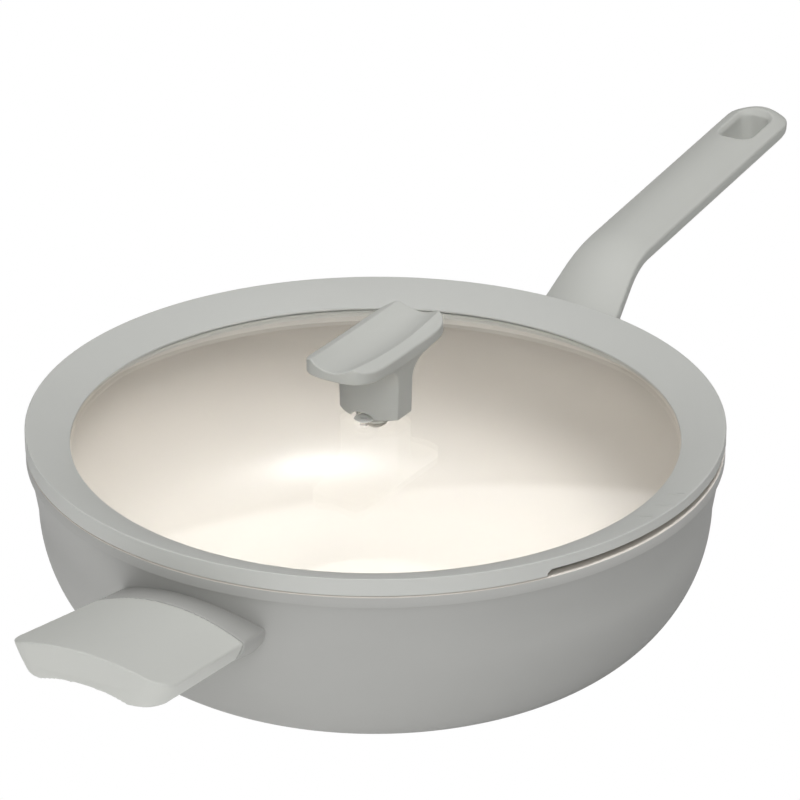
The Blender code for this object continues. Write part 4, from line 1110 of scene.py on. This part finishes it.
# Each corner of the bore's mouth: how far out from the bore it is, and how far under the collar's top.
VENT_MOUTH = ((0, 0.4 * MM), (0.3 * MM, 0.1 * MM), (0.8 * MM, 0))
VENT_TUBE = VENT_HOLE_RADIUS - CLEARANCE
BOLT_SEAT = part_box("knob_steel_washer")[0].z - CLEARANCE
BOLT_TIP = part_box("knob_screw")[1].z
BOLT_RADIUS = 2.0 * MM
BOLT_HEAD_RADIUS = 3.6 * MM
BOLT_HEAD_HEIGHT = 1.2 * MM
BOLT_HEAD_SIDE = 0.7 * MM
BOLT_FACE_RADIUS = 3.06 * MM
THREAD_PITCH = 0.8 * MM
THREAD_DEPTH = 0.25 * MM
SOCKET_RADIUS = 1.5 * MM
SOCKET_DEPTH = 1.0 * MM
SOCKET_SIDES = 6
BOLT_SHARP_FROM = radians(30)
SMALL_TURN_STEPS = 64


def eyelet_outline():
    glass_top = dome(VENT_OFFSET) + COLLAR_GAP
    glass_foot = dome(VENT_OFFSET) - GLASS_THICKNESS
    rounding = COLLAR_SIDE / 2
    outline = [(VENT_BORE + out, COLLAR_TOP - down) for out, down in VENT_MOUTH]
    middle = (COLLAR_RADIUS - rounding, COLLAR_TOP - rounding)
    outline += arc(middle, (rounding, rounding), pi / 2, -pi / 2, 8)
    outline.append((COLLAR_RADIUS - COLLAR_UNDERCUT, glass_top + COLLAR_FOOT))
    outline += [(VENT_TUBE + COLLAR_FOOT, glass_top), (VENT_TUBE, glass_top)]
    outline += [(VENT_TUBE, glass_foot), (VENT_BORE, glass_foot)]
    return outline + outline[:1]


def bolt_outline():
    head_low = BOLT_SEAT - BOLT_HEAD_HEIGHT
    outline = [(0, BOLT_TIP), (BOLT_RADIUS - 2 * THREAD_DEPTH, BOLT_TIP)]
    height = BOLT_TIP - THREAD_DEPTH
    while height > KNOB_FOOT + THREAD_PITCH:
        outline.append((BOLT_RADIUS, height - THREAD_PITCH / 4))
        outline.append((BOLT_RADIUS - THREAD_DEPTH, height - THREAD_PITCH * 3 / 4))
        height -= THREAD_PITCH
    outline += [(BOLT_RADIUS, height - THREAD_PITCH / 4), (BOLT_RADIUS, BOLT_SEAT)]
    outline += [(BOLT_HEAD_RADIUS, BOLT_SEAT), (BOLT_HEAD_RADIUS, BOLT_SEAT - BOLT_HEAD_SIDE)]
    outline += [(BOLT_FACE_RADIUS, head_low), (0, head_low)]
    return outline


eyelet = turned("vent_collar", eyelet_outline(), SMALL_TURN_STEPS)
bpy.ops.object.mode_set(mode="EDIT")
bpy.ops.mesh.select_all(action="SELECT")
bpy.ops.transform.translate(value=(-VENT_OFFSET, 0, 0))
bpy.ops.object.mode_set(mode="OBJECT")
smooth_shade(eyelet, COLLAR_SHARP_FROM)
# The collar's near-white finish is a painted highlight, lighter than its steel, to stand against the shade
# under the knob's foot.
place_piece(eyelet, "lid", "vent_eyelet", "screw_steel", VENT_PAINTED_HIGHLIGHT)

bolt = turned("knob_bolt", bolt_outline(), SMALL_TURN_STEPS)
socket_place = (0, 0, BOLT_SEAT - BOLT_HEAD_HEIGHT)
combine(bolt, round_tool(SOCKET_RADIUS, 2 * SOCKET_DEPTH, socket_place, sides=SOCKET_SIDES))
smooth_shade(bolt, BOLT_SHARP_FROM)
place_piece(bolt, "lid", "knob_screw", "screw_steel", STEEL)

# %% [markdown]
# ## The long handle
#
# The handle is a shaped metal neck on the wall and a moulded grip on the neck's tongue. Seen from the
# side its top line runs out flat, bends up into a ramp, and bends again into the long grip. A curve
# object with a bevel could follow that line, but its section changes all the way, so it is a loft: the
# line is walked in small steps that each turn a little in the bends, and a slice is set square on it at
# every step. The slices narrow up the ramp, and close in a rounded end at the tip.

# %% The long handle's line
NECK_HEIGHT = 63.0 * MM
NECK_LENGTH = 13.5 * MM
NECK_SLOPE = radians(13.3)
RAMP_LENGTH = 53.6 * MM
RAMP_SLOPE = radians(35.1)
GRIP_LENGTH = 154.9 * MM
GRIP_SLOPE = radians(6.1)
LOWER_BEND_RADIUS = 25.0 * MM
UPPER_BEND_RADIUS = 50.0 * MM
LINE_STEP = 0.5 * MM


def wall_radius(height):
    """The radius of the pan's outside at a height."""
    line = outer_wall()
    for (r1, z1), (r2, z2) in zip(line, line[1:]):
        if z2 <= height <= z1:
            return between(r1, r2, (z1 - height) / (z1 - z2))
    return line[0][0]


LOWER_TRIM = LOWER_BEND_RADIUS * tan((RAMP_SLOPE - NECK_SLOPE) / 2)
UPPER_TRIM = UPPER_BEND_RADIUS * tan((RAMP_SLOPE - GRIP_SLOPE) / 2)
LOWER_BEND = (NECK_LENGTH - LOWER_TRIM, LOWER_BEND_RADIUS * (RAMP_SLOPE - NECK_SLOPE))
UPPER_BEND = (
    sum(LOWER_BEND) + RAMP_LENGTH - LOWER_TRIM - UPPER_TRIM,
    UPPER_BEND_RADIUS * (RAMP_SLOPE - GRIP_SLOPE),
)
HANDLE_LENGTH = sum(UPPER_BEND) + GRIP_LENGTH - UPPER_TRIM


def slope_at(distance):
    """The slope of the top line: straight runs, and bends that turn at a steady rate."""
    lower = min(max((distance - LOWER_BEND[0]) / LOWER_BEND[1], 0), 1)
    upper = min(max((distance - UPPER_BEND[0]) / UPPER_BEND[1], 0), 1)
    return NECK_SLOPE + (RAMP_SLOPE - NECK_SLOPE) * lower + (GRIP_SLOPE - RAMP_SLOPE) * upper


def walk_line():
    """Points (distance, x, z) along the top line, from the wall to the tip."""
    x, z, distance = wall_radius(NECK_HEIGHT), NECK_HEIGHT, 0.0
    line = [(distance, x, z)]
    while distance < HANDLE_LENGTH:
        slope = slope_at(distance + LINE_STEP / 2)
        x += LINE_STEP * cos(slope)
        z += LINE_STEP * sin(slope)
        distance += LINE_STEP
        line.append((distance, x, z))
    return line


HANDLE_LINE = walk_line()


def at_handle(distance, across, depth):
    """A point by its distance along the line, its place across, and its depth square under the line."""
    if distance <= 0:
        x = HANDLE_LINE[0][1] + distance * cos(NECK_SLOPE)
        z = HANDLE_LINE[0][2] + distance * sin(NECK_SLOPE)
    else:
        index = min(int(distance / LINE_STEP), len(HANDLE_LINE) - 2)
        (d1, x1, z1), (_, x2, z2) = HANDLE_LINE[index], HANDLE_LINE[index + 1]
        share = (distance - d1) / LINE_STEP
        x = between(x1, x2, share)
        z = between(z1, z2, share)
    slope = slope_at(distance)
    return (x + depth * sin(slope), across, z - depth * cos(slope))


print("The long handle's line is", round(HANDLE_LENGTH / MM, 1), "mm long")

# %% [markdown]
# ## The long handle's slices
#
# Each slice has a slightly crowned top, a small rounded edge, straight sides and a rounded belly. Width
# and thickness ease from the broad root to the slimmer grip. A curve's bevel object would keep one section
# all along, so the section is worked out anew at every step.

# %% The long handle's slices
ROOT_WIDTH = 41.0 * MM
GRIP_WIDTH = 30.6 * MM
ROOT_THICKNESS = 13.0 * MM
GRIP_THICKNESS = 11.0 * MM
SIDE_HEIGHT = 4.0 * MM
SIDE_EDGE = 0.9 * MM
SIDE_DRAFT = 0.3 * MM
# The edge takes at most this share of a slim slice's half width, and is softened over this share of it.
SIDE_EDGE_LIMIT = 0.4
SIDE_EDGE_EASE = 0.3
TOP_POINTS = 11
BELLY_STEP = 12
TOP_CROWN = 3.6 * MM
TIP_ROUND = 13.0 * MM
TIP_FULLNESS = 2.6
TIP_SWELL = 2.0 * MM
TIP_SWELL_LENGTH = 80.0 * MM
TIP_SWELL_SPEED = 1.3
TIP_KEEL = 2 / 1.7
TIP_THINNING = 0.45
TIP_LAST_SHARE = 0.9985
NARROW_START = NECK_LENGTH
NARROW_END = NECK_LENGTH + RAMP_LENGTH + UPPER_TRIM


def ease(value):
    value = min(max(value, 0.0), 1.0)
    return value * value * (3 - 2 * value)


def handle_slice(distance, shrink=0.0):
    narrowing = ease((distance - NARROW_START) / (NARROW_END - NARROW_START))
    half = between(ROOT_WIDTH, GRIP_WIDTH, narrowing) / 2
    to_tip = HANDLE_LENGTH - distance
    swell = ease(TIP_SWELL_SPEED * (1 - to_tip / TIP_SWELL_LENGTH))
    keel = between(1.0, TIP_KEEL, swell)
    thick = between(ROOT_THICKNESS, GRIP_THICKNESS, narrowing) + TIP_SWELL * swell
    if to_tip < TIP_ROUND:
        share = min(1 - to_tip / TIP_ROUND, TIP_LAST_SHARE)
        half *= (1 - share**TIP_FULLNESS) ** (1 / TIP_FULLNESS)
        thick = SIDE_HEIGHT + (thick - SIDE_HEIGHT) * (1 - TIP_THINNING * share**2)
    half -= shrink
    thick -= shrink
    crown = TOP_CROWN * half / (GRIP_WIDTH / 2)
    edge = min(SIDE_EDGE, half * SIDE_EDGE_LIMIT)
    tops = shares(TOP_POINTS)[1:]
    outline = [((half - edge) * share, shrink - crown * (1 - share**2)) for share in tops]
    outline += [(half - edge * SIDE_EDGE_EASE, shrink + edge * SIDE_EDGE_EASE), (half, shrink + edge)]
    outline.append((half - SIDE_DRAFT, SIDE_HEIGHT))
    for angle in range(BELLY_STEP, 90, BELLY_STEP):
        out, down = cos(radians(angle)) ** keel, sin(radians(angle)) ** keel
        outline.append(((half - SIDE_DRAFT) * out, SIDE_HEIGHT + (thick - SIDE_HEIGHT) * down))
    return [at_handle(distance, across, depth) for across, depth in both_halves(outline)]


print("The grip is", round(GRIP_WIDTH / MM, 1), "mm wide, and its root", round(ROOT_WIDTH / MM, 1), "mm")

# %% [markdown]
# ## The long handle's neck
#
# The neck is the metal part. It runs from the wall to the ramp, and a flat tongue on it reaches into the
# grip and takes the grip's screw. Tongue and neck could be one loft, but a plain block is what such a
# tongue is, so a Boolean joins it on. Another Boolean trims the neck to the pan's round wall, with a tool
# turned from the wall's own outline, and leaves the little that bites into the wall as a weld does.

# %% The long handle's neck
TONGUE_WIDTH = 22.0 * MM
TONGUE_THICKNESS = 3.4 * MM
TONGUE_LENGTH = 36.0 * MM
TONGUE_DEPTH = 3.4 * MM
SCREW_AT = 24.0 * MM
SCREW_RADIUS = 2.4 * MM
NECK_SINK = 16.9 * MM
WALL_BITE = 1.0 * MM
GRIP_VOXEL = 0.53 * MM
NECK_PASSES = 4
NECK_STEPS = 10


def on_ramp(distance, depth):
    """A point on the ramp's middle plane, measured from its lower corner and square under its top."""
    x = HANDLE_LINE[0][1] + NECK_LENGTH * cos(NECK_SLOPE)
    z = HANDLE_LINE[0][2] + NECK_LENGTH * sin(NECK_SLOPE)
    x += distance * cos(RAMP_SLOPE) + depth * sin(RAMP_SLOPE)
    z += distance * sin(RAMP_SLOPE) - depth * cos(RAMP_SLOPE)
    return Vector((x, 0, z))


def block_tool(middle, size, slope=0.0):
    """A block to join or cut with. A slope tips it about Y."""
    deselect_all()
    bpy.ops.mesh.primitive_cube_add(size=1, location=middle, rotation=(0, -slope, 0), scale=size)
    return bpy.context.object


def ramp_block(start, end, width, top, bottom):
    """A block laid along the ramp between two distances and two depths."""
    middle = on_ramp((start + end) / 2, (top + bottom) / 2)
    return block_tool(middle, (end - start, width, bottom - top), RAMP_SLOPE)


def ramp_bore(radius, shallow, deep):
    """A round cutter square to the ramp at the screw, between two depths."""
    return round_tool(radius, deep - shallow, on_ramp(SCREW_AT, (shallow + deep) / 2), RAMP_SLOPE)


def wall_tool():
    """All that lies inside the pan's wall, less the depth that a neck bites into it."""
    line = outer_wall(-WALL_BITE)
    outline = [(0, RIM_TOP), (LIP_RADIUS, RIM_TOP), (LIP_RADIUS, BAND_FOOT)] + line + [(0, line[-1][1])]
    return turned("wall_tool", outline)


neck_stations = [-NECK_SINK] + [between(0, NECK_LENGTH, share) for share in shares(NECK_STEPS)]
neck = lofted("long_neck", [handle_slice(distance, CLEARANCE) for distance in neck_stations])
tongue_low = TONGUE_DEPTH + TONGUE_THICKNESS
combine(neck, ramp_block(-NECK_LENGTH / 2, TONGUE_LENGTH, TONGUE_WIDTH, TONGUE_DEPTH, tongue_low), "UNION")
combine(neck, ramp_bore(SCREW_RADIUS + CLEARANCE, 0, ROOT_THICKNESS))
combine(neck, wall_tool())
remeshed(neck, GRIP_VOXEL, NECK_PASSES)
place_piece(neck, "pan", "long_handle_bracket", "bracket_coat", BRACKET_COAT)

# %% [markdown]
# ## The long handle's grip
#
# The grip is moulded and slides over the tongue, so it has a pocket for it, and a stepped bore from below
# for the screw. Near its tip it has a long rounded opening to hang it by, with a bevelled upper edge. The
# Bevel modifier can't follow a crowned top into a hole, so the bevel is in the cutter. That is a loft of
# three rounded rectangles. From the middle one it widens fast upwards, so the bevel follows the crowned
# top, and narrows slowly downwards, so the walls lean in as a mould's core leaves them.

# %% The long handle's grip
HOLE_LENGTH = 26.4 * MM
HOLE_WIDTH = 15.2 * MM
HOLE_ROUND = 5.5 * MM
HOLE_MARGIN = 8.4 * MM
HOLE_BEVEL = 2.3 * MM
HOLE_DEEP = 15.0 * MM
HOLE_DEEP_LENGTH = 20.9 * MM
HOLE_DEEP_WIDTH = 9.7 * MM
HOLE_DEEP_ROUND = 4.8 * MM
SCREW_HEAD_RADIUS = 4.4 * MM
SCREW_WEB = 1.8 * MM
GRIP_STEPS = 110
TIP_STEPS = 18


def rounded_rectangle(length, width, radius, points=12):
    outline = []
    for turn, (sx, sy) in enumerate(((1, 1), (-1, 1), (-1, -1), (1, -1))):
        centre = (sx * (length / 2 - radius), sy * (width / 2 - radius))
        for share in shares(points):
            angle = (turn + share) * pi / 2
            outline.append((centre[0] + radius * cos(angle), centre[1] + radius * sin(angle)))
    return outline


def hole_slices():
    middle = HANDLE_LENGTH - HOLE_MARGIN - HOLE_LENGTH / 2
    over = TOP_CROWN + MM
    surface = -TOP_CROWN * (1 - (HOLE_WIDTH / GRIP_WIDTH) ** 2)
    edge = surface + HOLE_BEVEL
    flare = over + edge
    sections = (
        (-over, HOLE_LENGTH + 2 * flare, HOLE_WIDTH + 2 * flare, HOLE_ROUND + flare),
        (edge, HOLE_LENGTH, HOLE_WIDTH, HOLE_ROUND),
        (HOLE_DEEP, HOLE_DEEP_LENGTH, HOLE_DEEP_WIDTH, HOLE_DEEP_ROUND),
    )
    made = []
    for depth, length, width, corner in sections:
        outline = rounded_rectangle(length, width, corner)
        made.append([at_handle(middle + along, across, depth) for along, across in outline])
    return made


tip_start = HANDLE_LENGTH - TIP_ROUND
grip_stations = [between(NECK_LENGTH + CLEARANCE, tip_start, share) for share in shares(GRIP_STEPS)]
grip_stations += closing(tip_start, TIP_ROUND, TIP_STEPS)
grip = lofted("long_grip", [handle_slice(distance) for distance in grip_stations])
pocket = ramp_block(
    -NECK_LENGTH,
    TONGUE_LENGTH + CLEARANCE,
    TONGUE_WIDTH + 2 * CLEARANCE,
    TONGUE_DEPTH - CLEARANCE,
    tongue_low + CLEARANCE,
)
combine(grip, pocket)
screw_seat = tongue_low + CLEARANCE + SCREW_WEB
combine(grip, ramp_bore(SCREW_RADIUS + CLEARANCE, tongue_low - MM, screw_seat + MM))
combine(grip, ramp_bore(SCREW_HEAD_RADIUS + CLEARANCE, screw_seat, screw_seat + ROOT_THICKNESS))
combine(grip, lofted("hole_cutter", hole_slices()))
remeshed(grip, GRIP_VOXEL, GRIP_PASSES)
place_piece(grip, "pan", "long_handle_grip", "grip_soft", SOFT_TOUCH)

# %% [markdown]
# ## The helper handle
#
# Opposite the long handle, a broad short grip helps to lift a full pan. It sits on a neck of its own.
# Seen from outside, both have one top line, crowned from side to side, so both take it from the functions
# here. A Curve modifier could bend a block into that crown, but the neck and the grip would then not meet
# exactly.

# %% The helper's top line
HELPER_NECK_LENGTH = 13.0 * MM
HELPER_LENGTH = 61.0 * MM
HELPER_ROOT_WIDTH = 70.6 * MM
HELPER_END_WIDTH = 77.2 * MM
HELPER_ROOT_TOP = 77.2 * MM
HELPER_END_TOP = 83.2 * MM
HELPER_ROOT_CROWN = 7.9 * MM
HELPER_END_CROWN = 6.7 * MM
HELPER_ROOT_BOTTOM = 60.4 * MM
HELPER_ROOT_TUCK = 4.0 * MM
HELPER_EDGE = 0.6 * MM
HELPER_EDGE_IN = 0.6
HELPER_TOP_POINTS = 13
HELPER_START = wall_radius(HELPER_ROOT_TOP - HELPER_ROOT_CROWN)
HELPER_JOINT = HELPER_START + HELPER_NECK_LENGTH
HELPER_END = HELPER_JOINT + HELPER_LENGTH


def helper_share(reach):
    return (reach - HELPER_JOINT) / HELPER_LENGTH


def helper_half_width(reach):
    return between(HELPER_ROOT_WIDTH, HELPER_END_WIDTH, helper_share(reach)) / 2


def helper_top(reach, across):
    share = helper_share(reach)
    crown = between(HELPER_ROOT_CROWN, HELPER_END_CROWN, share)
    fall = crown * (across / helper_half_width(reach)) ** 2
    return between(HELPER_ROOT_TOP, HELPER_END_TOP, share) - fall


def crowned_half(reach, half):
    """The right half of a slice's top, from near the middle out to its edge."""
    near = half - HELPER_EDGE_IN * HELPER_EDGE
    tops = shares(HELPER_TOP_POINTS)[1:]
    points = [(near * share, helper_top(reach, near * share)) for share in tops]
    return points + [(half, helper_top(reach, half) - HELPER_EDGE)]


print("The helper reaches", round(HELPER_END / MM, 1), "mm from the pan's axis")

# %% [markdown]
# ## The helper's neck
#
# The neck's belly runs down the wall like a gusset, which is how a cast bracket spreads its load. It is
# made as the long handle's neck is: a loft of slices square to the pan's axis, a tongue joined on, and
# the wall's round cut out of it. The tongue takes two screws from below.

# %% The helper's neck
HELPER_GUSSET = 48.0 * MM
HELPER_GUSSET_TUCK = 17.0 * MM
HELPER_NECK_SINK = 21.18 * MM
HELPER_TONGUE_WIDTH = 40.0 * MM
HELPER_TONGUE_LENGTH = 36.0 * MM
HELPER_TONGUE_BOTTOM = 69.4 * MM
HELPER_TONGUE_TOP = HELPER_TONGUE_BOTTOM + TONGUE_THICKNESS
HELPER_SCREW_AT = 22.0 * MM
HELPER_SCREW_SPACING = 26.0 * MM
HELPER_NECK_STEPS = 8
NECK_SIDE_SHARES = (0.2, 0.4, 0.6, 0.8, 0.95, 1)


def helper_neck_slice(reach, bottom, tuck):
    half = helper_half_width(reach)
    top_edge = helper_top(reach, half) - HELPER_EDGE
    right = crowned_half(reach, half)
    for share in NECK_SIDE_SHARES:
        right.append((half - tuck * share**2, between(top_edge, bottom, share)))
    return [(-reach, -y, z) for y, z in both_halves(right)]


def helper_block(start, end, width, bottom, top):
    middle = (-(start + end) / 2, 0, (bottom + top) / 2)
    return block_tool(middle, (end - start, width, top - bottom))


def helper_bore(side, radius, low, high):
    across = side * HELPER_SCREW_SPACING / 2
    return round_tool(radius, high - low, (-(HELPER_JOINT + HELPER_SCREW_AT), across, (low + high) / 2))


sunk = HELPER_START - HELPER_NECK_SINK
neck_slices = [helper_neck_slice(sunk, HELPER_GUSSET, HELPER_GUSSET_TUCK)]
for share in shares(HELPER_NECK_STEPS):
    reach = between(HELPER_START - WALL_THICKNESS, HELPER_JOINT - CLEARANCE, share)
    bottom = between(HELPER_GUSSET, HELPER_ROOT_BOTTOM, share)
    tuck = between(HELPER_GUSSET_TUCK, HELPER_ROOT_TUCK, share)
    neck_slices.append(helper_neck_slice(reach, bottom, tuck))
helper_neck = lofted("helper_neck", neck_slices)
tongue = helper_block(
    HELPER_START + HELPER_NECK_LENGTH / 6,
    HELPER_JOINT + HELPER_TONGUE_LENGTH,
    HELPER_TONGUE_WIDTH,
    HELPER_TONGUE_BOTTOM,
    HELPER_TONGUE_TOP,
)
combine(helper_neck, tongue, "UNION")
combine(helper_neck, wall_tool())
for side in (-1, 1):
    bore = helper_bore(side, SCREW_RADIUS + CLEARANCE, HELPER_TONGUE_BOTTOM - MM, HELPER_TONGUE_TOP + MM)
    combine(helper_neck, bore)
remeshed(helper_neck, GRIP_VOXEL, NECK_PASSES)
place_piece(helper_neck, "pan", "helper_bracket", "bracket_coat", BRACKET_COAT)

# %% [markdown]
# ## The helper's grip
#
# The grip's underside is hollowed for the fingers, its outer corners are round, and its sides tuck in
# towards the bottom. Its slices narrow along a quarter circle at the outer end, and lie closer together
# there. It has a pocket for the tongue and two stepped bores for the screws, as the long grip has.

# %% The helper's grip
HELPER_END_BOTTOM = 65.1 * MM
HELPER_HOLLOW = 3.5 * MM
HELPER_END_TUCK = 7.0 * MM
HELPER_SIDE_CURVE = 1.3
HELPER_CORNER = 11.0 * MM
HELPER_BOW = 0.8 * MM
HELPER_SIDE_SHARES = (0.2, 0.35, 0.5, 0.65, 0.8, 0.92, 0.97)
HELPER_HOLLOW_SHARES = (0.97, 0.85, 0.7, 0.55, 0.4, 0.25, 0.1)
HELPER_STEPS = 30
CORNER_STEPS = 24


def helper_slice(reach):
    share = helper_share(reach)
    half = helper_half_width(reach)
    to_end = HELPER_END - reach
    if to_end < HELPER_CORNER:
        inset = HELPER_CORNER - to_end
        half -= HELPER_CORNER - sqrt(max(HELPER_CORNER**2 - inset**2, 0))
    bottom = between(HELPER_ROOT_BOTTOM, HELPER_END_BOTTOM, share)
    low_half = half - between(HELPER_ROOT_TUCK, HELPER_END_TUCK, share)
    top_edge = helper_top(reach, half)
    right = crowned_half(reach, half)
    for down in HELPER_SIDE_SHARES:
        right.append((between(half, low_half, down**HELPER_SIDE_CURVE), between(top_edge, bottom, down)))
    for out in HELPER_HOLLOW_SHARES:
        right.append((low_half * out, bottom + HELPER_HOLLOW * (1 - out**2)))
    bow = HELPER_BOW * share
    return [(-(reach - bow * (y / half) ** 2), -y, z) for y, z in both_halves(right)]


corner_start = HELPER_END - HELPER_CORNER
helper_stations = [between(HELPER_JOINT, corner_start, share) for share in shares(HELPER_STEPS)]
helper_stations += closing(corner_start, HELPER_CORNER, CORNER_STEPS)
helper = lofted("helper_pad", [helper_slice(reach) for reach in helper_stations])
pocket = helper_block(
    HELPER_JOINT - MM,
    HELPER_JOINT + HELPER_TONGUE_LENGTH + CLEARANCE,
    HELPER_TONGUE_WIDTH + 2 * CLEARANCE,
    HELPER_TONGUE_BOTTOM - CLEARANCE,
    HELPER_TONGUE_TOP + CLEARANCE,
)
combine(helper, pocket)
helper_seat = HELPER_TONGUE_BOTTOM - CLEARANCE - SCREW_WEB
shank = SCREW_RADIUS + CLEARANCE
head = SCREW_HEAD_RADIUS + CLEARANCE
for side in (-1, 1):
    combine(helper, helper_bore(side, shank, helper_seat - MM, HELPER_TONGUE_BOTTOM + MM))
    combine(helper, helper_bore(side, head, HELPER_ROOT_BOTTOM - MM, helper_seat))
remeshed(helper, GRIP_VOXEL, GRIP_PASSES)
place_piece(helper, "pan", "helper_grip", "grip_soft", SOFT_TOUCH)

# %% [markdown]
# ## The small pieces
#
# The steel disc, the handles' screws, the washers, the insert and the gasket already have their right
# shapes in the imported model. They keep them, and only get their finishes.

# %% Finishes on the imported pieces
PACKED_LOOKS = {
    "induction_plate": PLATE_STEEL,
    "long_handle_screw": STEEL,
    "helper_screw_front": STEEL,
    "helper_screw_back": STEEL,
    "knob_steel_washer": STEEL,
    "knob_insert": BRASS,
    "knob_gasket": SEAL,
    "knob_seal_washer": SEAL,
}
for node, look in PACKED_LOOKS.items():
    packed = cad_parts[node]
    for slot in packed.material_slots:
        slot.material = look
    if not packed.material_slots:
        packed.data.materials.append(look)
print("Packed pieces with a new finish:", len(PACKED_LOOKS))

# %% [markdown]
# ## The two boxes
#
# The fine shapes should fill the imported model's box and stay inside it. The sizes of both boxes are
# printed, in millimetres.

# %% Print the two boxes' sizes
SCENE_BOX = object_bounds()
boxes = {
    "cad": [list(corner) for corner in CAD_BOX],
    "scene": [list(corner) for corner in SCENE_BOX],
}
for name, (low, high) in boxes.items():
    print(name, "box in mm:", [round((b - a) / MM, 1) for a, b in zip(low, high)])
